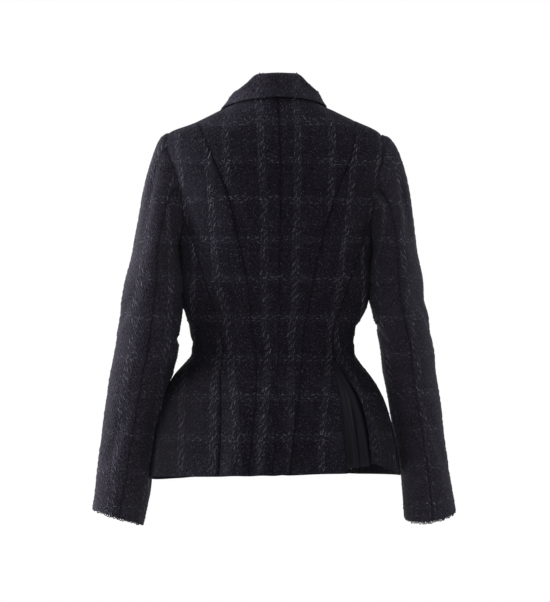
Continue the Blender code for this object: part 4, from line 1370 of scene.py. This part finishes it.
def cloth_ways(cloth):
    """Change of place with each of the cloth's own coordinates, at every grid point."""
    down, over = np.gradient(cloth.grid, axis=0), np.gradient(cloth.grid, axis=1)
    u_down, u_over = np.gradient(cloth.u, axis=0), np.gradient(cloth.u, axis=1)
    v_down, v_over = np.gradient(cloth.v, axis=0), np.gradient(cloth.v, axis=1)
    area = u_over * v_down - u_down * v_over
    area = np.where(np.abs(area) < LEAST_AREA, LEAST_AREA, area)[..., None]
    along_u = (over * v_down[..., None] - down * v_over[..., None]) / area
    along_v = (down * u_over[..., None] - over * u_down[..., None]) / area
    return along_u.reshape(-1, 3), along_v.reshape(-1, 3)


def nearest_points(cloth, u, v):
    """Index of the grid point nearest to each place in the cloth's coordinates, and how far it is."""
    tree = point_tree([(a, b, 0.0) for a, b in zip(cloth.u.ravel(), cloth.v.ravel())])
    found = [tree.find((a, b, 0.0))[1:] for a, b in zip(u, v)]
    return np.array([index for index, _ in found]), np.array([distance for _, distance in found])


def capped_faces(rings, sides):
    """Triangles of a closed skin: its first point, then rings of points, then its last point."""
    last = 1 + rings * sides
    end = last - sides
    faces = []
    for k in range(sides):
        n = (k + 1) % sides
        faces.append((0, 1 + n, 1 + k))
        for ring in range(rings - 1):
            a, b = 1 + ring * sides, 1 + (ring + 1) * sides
            faces.append((a + k, a + n, b + n))
            faces.append((a + k, b + n, b + k))
        faces.append((end + k, end + n, last))
    return np.array(faces)


def spindle():
    """Points of a unit yarn as (along, across, up), and its triangles."""
    points = [(-0.5, 0.0, 0.0)]
    for place, share in YARN_RINGS:
        for k in range(YARN_SIDES):
            turn = 2 * math.pi * (k + 0.5) / YARN_SIDES
            points.append((place, share * math.cos(turn) / 2, share * math.sin(turn)))
    points.append((0.5, 0.0, 0.0))
    return np.array(points), capped_faces(len(YARN_RINGS), YARN_SIDES)


def spindle_mesh(name, centre, along, out, length, width, rise, shade, material):
    shape, triangles = spindle()
    across = np.cross(out, along)
    points = (
        centre[:, None]
        + along[:, None] * (shape[None, :, 0] * length[:, None])[..., None]
        + across[:, None] * (shape[None, :, 1] * width[:, None])[..., None]
        + out[:, None] * (shape[None, :, 2] * rise[:, None])[..., None]
    )
    faces = (triangles[None] + (np.arange(len(centre)) * len(shape))[:, None, None]).reshape(-1, 3)
    thing = mesh_object(name, tilted(points.reshape(-1, 3)), faces, [material], NO_SHARP)
    point_values(thing, "shade", "FLOAT", np.repeat(shade, len(shape)).astype(np.float32))
    return thing


def lay_yarns(name, cloth, random, material):
    """The raised yarns of one piece as a single mesh."""
    sets = check_yarns(cloth, random) + [nub_yarns(cloth, random)]
    yarns = Yarns(*[np.concatenate(fields) for fields in zip(*sets)])
    index, distance = nearest_points(cloth, yarns.u, yarns.v)
    along_u, along_v = cloth_ways(cloth)
    inside = (edge_weight(cloth.u.shape, ROLL_ROWS) == 0).ravel()
    sound = [np.abs(np.linalg.norm(way, axis=1) - 1.0) < YARN_STRETCH for way in (along_u, along_v)]
    kept = inside[index] & sound[0][index] & sound[1][index] & (distance < YARN_EDGE)
    yarns = Yarns(*[field[kept] for field in yarns])
    index = index[kept]
    shift_u = yarns.u - cloth.u.ravel()[index]
    shift_v = yarns.v - cloth.v.ravel()[index]
    out = cloth.out.reshape(-1, 3)[index]
    along_u, along_v = along_u[index], along_v[index]
    centre = cloth.grid.reshape(-1, 3)[index] + along_u * shift_u[:, None] + along_v * shift_v[:, None]
    along = square_to(along_u * yarns.du[:, None] + along_v * yarns.dv[:, None], out)
    rise = yarns.width * FLOAT_RISE / FLOAT_WIDTH
    # Painted shade: yarns where sleeve and body come close are dimmed with the cloth under them
    shade = yarns.shade * (1 - close_shade(cloth).ravel()[index])
    # Painted light: sleeve yarns are made paler
    if cloth.piece.endswith("sleeve"):
        shade = np.minimum(shade * SLEEVE_YARN_PAINTED_LIGHT, 1.0)
    return spindle_mesh(name, centre, along, out, yarns.length, yarns.width, rise, shade, material)


def cuff_loops(side, whole, random, material):
    """Loops of yarn that hang from a raw cuff edge."""
    ring = np.concatenate([whole[-1], whole[-1][:1]])
    stray = random.uniform(-LOOP_STRAY, LOOP_STRAY, LOOPS_PER_CUFF)
    root = along_line(ring, (np.arange(LOOPS_PER_CUFF) + stray) / LOOPS_PER_CUFF % 1.0)
    down = unit(unit(whole[-1] - whole[-2]).mean(axis=0))
    inward = unit(ring[:-1].mean(axis=0) - root)
    root = root + inward * WALL / 2
    sideways = unit(np.cross(inward, down))
    drop = random.uniform(*LOOP_DROP, LOOPS_PER_CUFF)[:, None]
    lean = random.normal(0.0, LOOP_LEAN, LOOPS_PER_CUFF)[:, None]
    shade = random.uniform(0.0, LOOP_TONE, LOOPS_PER_CUFF)
    bends = np.linspace(0.0, math.pi, LOOP_BENDS + 1)
    fall = np.sin(bends) * drop
    swing = lean * fall - np.cos(bends) * LOOP_SPREAD
    path = root[:, None] + sideways[:, None] * swing[..., None] + down * (fall - WALL / 2)[..., None]
    inward = inward[:, None]
    flat = unit(np.cross(unit(np.gradient(path, axis=1)), inward))
    angles = (np.arange(LOOP_SIDES) * 2 * math.pi / LOOP_SIDES)[:, None]
    around = np.cos(angles) * inward[:, :, None] + np.sin(angles) * flat[:, :, None]
    tubes = path[:, :, None] + LOOP_RADIUS * around
    index = np.arange(tubes[..., 0].size).reshape(tubes.shape[:-1])
    after = np.roll(index, -1, axis=-1)
    faces = np.stack([index[:, :-1], after[:, :-1], after[:, 1:], index[:, 1:]], axis=-1).reshape(-1, 4)
    points = tilted(on_side(tubes.reshape(-1, 3), side.sign))
    loops = mesh_object(f"cuff_loops_{side.name}", points, faces, [material], NO_SHARP)
    point_values(loops, "shade", "FLOAT", np.repeat(shade, index[0].size).astype(np.float32))
    return loops


# Materials


def new_material(name):
    material = bpy.data.materials.new(name)
    material.use_nodes = True
    return material, material.node_tree, material.node_tree.nodes["Principled BSDF"]


def feed(tree, socket, value):
    if isinstance(value, bpy.types.NodeSocket):
        tree.links.new(value, socket)
    else:
        socket.default_value = value


def maths(tree, operation, *values):
    node = tree.nodes.new("ShaderNodeMath")
    node.operation = operation
    for socket, value in zip(node.inputs, values):
        feed(tree, socket, value)
    return node.outputs[0]


def times(tree, first, second):
    return maths(tree, "MULTIPLY", first, second)


def plus(tree, first, second):
    return maths(tree, "ADD", first, second)


def soft_step(tree, value, low, high):
    node = tree.nodes.new("ShaderNodeMapRange")
    node.interpolation_type = "SMOOTHSTEP"
    for name, given in (("Value", value), ("From Min", low), ("From Max", high)):
        feed(tree, node.inputs[name], given)
    return node.outputs["Result"]


def blend(tree, factor, first, second):
    node = tree.nodes.new("ShaderNodeMix")
    node.data_type = "RGBA"
    for name, given in (("Factor_Float", factor), ("A_Color", first), ("B_Color", second)):
        socket = next(socket for socket in node.inputs if socket.identifier == name)
        feed(tree, socket, given)
    return next(socket for socket in node.outputs if socket.identifier == "Result_Color")


def noise(tree, vector, grain):
    node = tree.nodes.new("ShaderNodeTexNoise")
    feed(tree, node.inputs["Vector"], vector)
    for name, given in zip(("Scale", "Detail", "Roughness"), grain):
        feed(tree, node.inputs[name], given)
    return node.outputs["Fac"]


def cells(tree, vector, scale, feature="F1"):
    node = tree.nodes.new("ShaderNodeTexVoronoi")
    node.feature = feature
    feed(tree, node.inputs["Vector"], vector)
    feed(tree, node.inputs["Scale"], scale)
    return node


def bump(tree, shader, height, size):
    node = tree.nodes.new("ShaderNodeBump")
    node.inputs["Strength"].default_value = size.strength
    node.inputs["Distance"].default_value = size.distance
    feed(tree, node.inputs["Height"], height)
    feed(tree, shader.inputs["Normal"], node.outputs["Normal"])


def attribute(tree, name, output):
    node = tree.nodes.new("ShaderNodeAttribute")
    node.attribute_name = name
    return node.outputs[output]


def object_place(tree):
    return tree.nodes.new("ShaderNodeTexCoord").outputs["Object"]


def soft_finish(shader, finish):
    names = ("Roughness", "Sheen Weight", "Sheen Roughness", "Sheen Tint", "Specular IOR Level")
    for name, given in zip(names, finish):
        shader.inputs[name].default_value = given


def twill(tree, parts, stray):
    """Diagonal ribs of the ground weave, led astray by uneven yarn."""
    run = plus(tree, parts.outputs["X"], times(tree, parts.outputs["Y"], TWILL_LEAN))
    run = plus(tree, run, times(tree, stray, TWILL_PITCH * TWILL_STRAY))
    wave = maths(tree, "PINGPONG", run, TWILL_PITCH / 2)
    return soft_step(tree, wave, 0.0, TWILL_PITCH * TWILL_RISE)


def check_window(tree, parts):
    """The bands of the check, each at its share, and 0 between them."""
    level_v = maths(tree, "SUBTRACT", parts.outputs["Y"], CHECK_START_Z)
    bands = []
    places = (parts.outputs["X"], level_v)
    for place, repeat, share in zip(places, (CHECK_WIDTH, CHECK_HEIGHT), BAND_SHARES):
        distance = maths(tree, "PINGPONG", place, repeat / 2)
        bands.append(times(tree, soft_step(tree, distance, *BAND_FADE), share))
    return maths(tree, "MAXIMUM", *bands)


def tweed_material(name):
    """Nubby dark weave; its check bands are a little paler under their raised yarns."""
    dark, ground, sheen, specular, banded = TWEEDS[name]
    material, tree, shader = new_material(name)
    cloth = attribute(tree, "cloth", "Vector")
    fibre, slow, mottle = (noise(tree, cloth, grain) for grain in (FIBRE, SLOW, MOTTLE))
    curl = cells(tree, cloth, CURL_SCALE, "SMOOTH_F1").outputs["Distance"]
    lump = soft_step(tree, curl, *LUMP_STEP)
    parts = tree.nodes.new("ShaderNodeSeparateXYZ")
    tree.links.new(cloth, parts.inputs[0])
    rib = twill(tree, parts, mottle)
    worn = times(tree, lump, soft_step(tree, fibre, *FIBRE_STEP))
    pale = times(tree, plus(tree, worn, rib), soft_step(tree, mottle, *MOTTLE_STEP))
    colour = blend(tree, times(tree, pale, PALE_SHARE), dark, ground)
    colour = blend(tree, times(tree, soft_step(tree, slow, *SLOW_STEP), SLOW_SHARE), colour, ground)
    spots = cells(tree, cloth, SPOT_SCALE)
    chosen = tree.nodes.new("ShaderNodeSeparateColor")
    tree.links.new(spots.outputs["Color"], chosen.inputs[0])
    chance = chosen.outputs["Red"]
    if banded:
        window = check_window(tree, parts)
        broken = times(tree, window, soft_step(tree, noise(tree, cloth, BREAKS), *BREAK_STEP))
        colour = blend(tree, broken, colour, BAND_TONE)
        chance = plus(tree, chance, times(tree, window, BAND_SPECKS))
    in_spot = soft_step(tree, spots.outputs["Distance"], *SPOT_STEP)
    speck = times(tree, soft_step(tree, chance, *SPECK_RANGE), in_spot)
    colour = blend(tree, speck, colour, SPECK_TONE)
    # Painted shade: the seam attribute darkens the colour towards near black along the seams and where
    # sleeve and body come close, and weakens the sheen there
    painted_shade = times(tree, attribute(tree, "seam", "Fac"), SEAM_SHADE)
    feed(tree, shader.inputs["Base Color"], blend(tree, painted_shade, colour, PAINTED_SHADE_TONE))
    weave = plus(tree, times(tree, lump, LUMP_HEIGHT), times(tree, rib, RIB_HEIGHT))
    bump(tree, shader, plus(tree, weave, times(tree, fibre, FIBRE_HEIGHT)), TWEED_BUMP)
    soft_finish(shader, Finish(TWEED_ROUGHNESS, sheen, TWEED_SHEEN_ROUGHNESS, TWEED_TINT, specular))
    open_to_light = maths(tree, "SUBTRACT", 1.0, painted_shade)
    feed(tree, shader.inputs["Sheen Weight"], times(tree, open_to_light, sheen))
    return material


def yarn_material():
    """Raised wool yarn, from the dark ground tone to the pale one of the check."""
    material, tree, shader = new_material("raised yarn")
    twist = noise(tree, object_place(tree), YARN_TWIST)
    tone = times(tree, attribute(tree, "shade", "Fac"), soft_step(tree, twist, *YARN_TWIST_STEP))
    feed(tree, shader.inputs["Base Color"], blend(tree, tone, *YARN_TONES))
    bump(tree, shader, twist, YARN_BUMP)
    soft_finish(shader, YARN_FINISH)
    return material


def smooth_cloth_material():
    """Fine close weave of the insert, with a soft sheen along its folds."""
    material, tree, shader = new_material("smooth cloth")
    cloth = attribute(tree, "cloth", "Vector")
    slow = noise(tree, cloth, SMOOTH_CLOUD)
    feed(tree, shader.inputs["Base Color"], blend(tree, slow, *SMOOTH_TONES))
    bump(tree, shader, noise(tree, cloth, SMOOTH_WEAVE), SMOOTH_BUMP)
    soft_finish(shader, SMOOTH_FINISH)
    return material


def horn_material():
    material, tree, shader = new_material("dark horn")
    place = object_place(tree)
    cloud = noise(tree, place, HORN_CLOUD)
    feed(tree, shader.inputs["Base Color"], blend(tree, cloud, *HORN_TONES))
    feed(tree, shader.inputs["Roughness"], soft_step(tree, cloud, *HORN_ROUGHNESS_STEP))
    bump(tree, shader, noise(tree, place, HORN_SCRATCH), HORN_BUMP)
    return material


def plain_material(name):
    """One colour with a slight grain."""
    colour, roughness, grain = PLAIN[name]
    material, tree, shader = new_material(name)
    darker = tuple(part * PLAIN_DARKER for part in colour[:3]) + (1.0,)
    fine = noise(tree, object_place(tree), grain)
    feed(tree, shader.inputs["Base Color"], blend(tree, fine, darker, colour))
    shader.inputs["Roughness"].default_value = roughness
    return material


# Buttons


def turned_mesh(profile, segments):
    """A profile of (radius, height) turned about the Z axis; it starts and ends on the axis."""
    angle = np.arange(segments) * 2 * math.pi / segments
    points = [[0.0, 0.0, profile[0][1]]]
    for radius, height in profile[1:-1]:
        ring = (radius * np.cos(angle), radius * np.sin(angle), np.full(segments, height))
        points.extend(np.stack(ring, axis=1))
    points.append([0.0, 0.0, profile[-1][1]])
    return np.array(points), capped_faces(len(profile) - 2, segments)[:, ::-1]


def disc(radius, top, bottom, segments):
    return turned_mesh([(0, top), (radius, top), (radius, bottom), (0, bottom)], segments)


def copies(points, faces, places):
    """One mesh with a copy of a small one at each place."""
    faces = [faces + i * len(points) for i in range(len(places))]
    return np.concatenate([points + place for place in places]), np.concatenate(faces)


def make_button(number, horn, hole, thread):
    """A dished four-hole button, with two bars of thread between its holes."""
    node = f"button_{number}"
    low, high = (np.array(corner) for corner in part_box(node))
    centre = (low + high) / 2
    facing = Vector(normals(centre[None])[0])
    turn = np.array(facing.to_track_quat("Z", "Y").to_matrix())

    def placed(points):
        return centre + (points - np.array([0.0, 0.0, BUTTON_THICKNESS / 2])) @ turn.T

    profile = [(r * BUTTON_RADIUS, h * BUTTON_THICKNESS) for r, h in BUTTON_PROFILE]
    points, faces = turned_mesh(profile, BUTTON_SEGMENTS)
    button = mesh_object(f"{node}_turned", placed(points), faces, [horn])
    dish = BUTTON_PROFILE[0][1] * BUTTON_THICKNESS
    both = (-HOLE_OFFSET, HOLE_OFFSET)
    places = [(x, y, dish) for x in both for y in both]
    # Painted shade: near-black plugs stand in for the dark inside of the holes
    points, faces = copies(*disc(HOLE_RADIUS, *HOLE_PLUG, HOLE_SEGMENTS), places)
    holes = mesh_object(f"{node}_holes", placed(points), faces, [hole])
    shape, triangles = spindle()
    bar = on_side(shape[:, (1, 0, 2)] * np.array(THREAD_SIZE), -1)
    points, faces = copies(bar, triangles, [(x, 0.0, dish + THREAD_RISE) for x in both])
    sewn = mesh_object(f"{node}_thread", placed(points), faces, [thread], NO_SHARP)
    for piece in (button, holes, sewn):
        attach(piece, "root")
    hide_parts(node)


# Putting the jacket together


def add_cloth(node, cloth, thickness, materials, extras=()):
    piece = wall_mesh(f"{node}_cloth", cloth, thickness, materials)
    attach(piece, "root")
    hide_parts(node)
    for extra in extras:
        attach(extra, "root")


def add_tweed(node, cloth, materials, yarn, random, more=()):
    """A piece of tweed with its raised yarns."""
    yarns = lay_yarns(f"{node}_yarns", cloth, random, yarn)
    add_cloth(node, cloth, WALL, materials, [yarns, *more])


def make_body(side, tweed, yarn, random):
    panels = {"back": back_panel, "side_back": side_back_panel, "side": side_panel, "front": front_panel}
    for piece, make in panels.items():
        add_tweed(f"{piece}_{side.name}", body_cloth(piece, side, make), tweed, yarn, random)
    lapel = strip_cloth("lapel", side, lapel_grid(side))
    add_tweed(f"lapel_{side.name}", lapel, tweed[:1], yarn, random)


def make_sleeve(side, tweed, yarn, random):
    whole = sleeve_grid(side)
    ends = {"under_sleeve": (HIND_SEAM, FORE_SEAM), "upper_sleeve": (FORE_SEAM, HIND_SEAM + RING_POINTS)}
    loops = cuff_loops(side, whole, random, yarn)
    for piece, (first, last) in ends.items():
        cloth = sleeve_cloth(piece, side, whole, first, last)
        more = [loops] if piece == "upper_sleeve" else []
        add_tweed(f"{piece}_{side.name}", cloth, tweed, yarn, random, more)


def make_insert(side, smooth_cloth):
    grid = insert_grid()
    share = np.linspace(0.0, CUT["insert"][0], grid.shape[1])
    u = np.repeat(share[None], len(grid), axis=0)
    out = grid_normals(grid, normals(grid))
    sign = side.sign
    cloth = Cloth("insert", side, on_side(grid, sign), on_side(out, sign), u, grid[..., 2], 0.0)
    add_cloth(f"insert_{side.name}", cloth, INSERT_WALL, [smooth_cloth])


def make_jacket():
    random = np.random.default_rng(YARN_SEED)
    # The sleeves and collar take the copy of the tweed painted paler, as painted light
    tweed, lighter_painted_tweed, reverse = (tweed_material(name) for name in TWEEDS)
    yarn = yarn_material()
    for side in SIDES:
        make_body(side, [tweed, reverse], yarn, random)
        make_sleeve(side, [lighter_painted_tweed, reverse], yarn, random)
        if side.vented:
            make_insert(side, smooth_cloth_material())
    collar = strip_cloth("collar", SIDES[0], collar_grid())
    add_tweed("collar", collar, [lighter_painted_tweed], yarn, random)
    horn = horn_material()
    hole, thread = (plain_material(name) for name in ("painted hole shade", "button thread"))
    for number in range(1, BUTTON_COUNT + 1):
        make_button(number, horn, hole, thread)


# Room


def make_camera():
    camera = bpy.data.objects.new("camera", bpy.data.cameras.new("camera"))
    bpy.context.scene.collection.objects.link(camera)
    target = Vector(VIEW_TARGET)
    away = Vector((math.sin(VIEW_TURN), math.cos(VIEW_TURN), 0.0))
    camera.location = target + away * VIEW_DISTANCE
    camera.rotation_euler = away.to_track_quat("Z", "Y").to_euler()
    camera.data.sensor_fit = "HORIZONTAL"
    camera.data.sensor_width = SENSOR_WIDTH
    camera.data.lens = SENSOR_WIDTH * VIEW_DISTANCE / VIEW_WIDTH
    bpy.context.scene.camera = camera


def make_lights():
    for softbox in SOFTBOXES:
        light = bpy.data.lights.new(softbox.name, "AREA")
        light.shape = "RECTANGLE"
        light.size, light.size_y = softbox.size
        light.energy = softbox.power
        holder = bpy.data.objects.new(softbox.name, light)
        holder.location = softbox.place
        towards = Vector(VIEW_TARGET) - Vector(softbox.place)
        holder.rotation_euler = towards.to_track_quat("-Z", "Y").to_euler()
        bpy.context.scene.collection.objects.link(holder)


def make_sky():
    """White behind the jacket, and a gentler even light on it."""
    world = bpy.data.worlds.new("studio")
    bpy.context.scene.world = world
    world.use_nodes = True
    tree = world.node_tree
    background = tree.nodes["Background"]
    background.inputs["Color"].default_value = (1.0, 1.0, 1.0, 1.0)
    seen = tree.nodes.new("ShaderNodeLightPath").outputs["Is Camera Ray"]
    strength = tree.nodes.new("ShaderNodeMapRange")
    strength.inputs["To Min"].default_value = SKY_LIGHT
    strength.inputs["To Max"].default_value = 1.0
    tree.links.new(seen, strength.inputs["Value"])
    tree.links.new(strength.outputs["Result"], background.inputs["Strength"])


def make_floor():
    points, faces = disc(FLOOR_RADIUS, FLOOR_Z, FLOOR_Z - FLOOR_THICKNESS, FLOOR_SEGMENTS)
    floor = mesh_object("floor", points, faces, [plain_material("pale floor")])


make_camera()
make_lights()
make_sky()
make_floor()
make_jacket()
bpy.context.scene.view_settings.view_transform = "Standard"
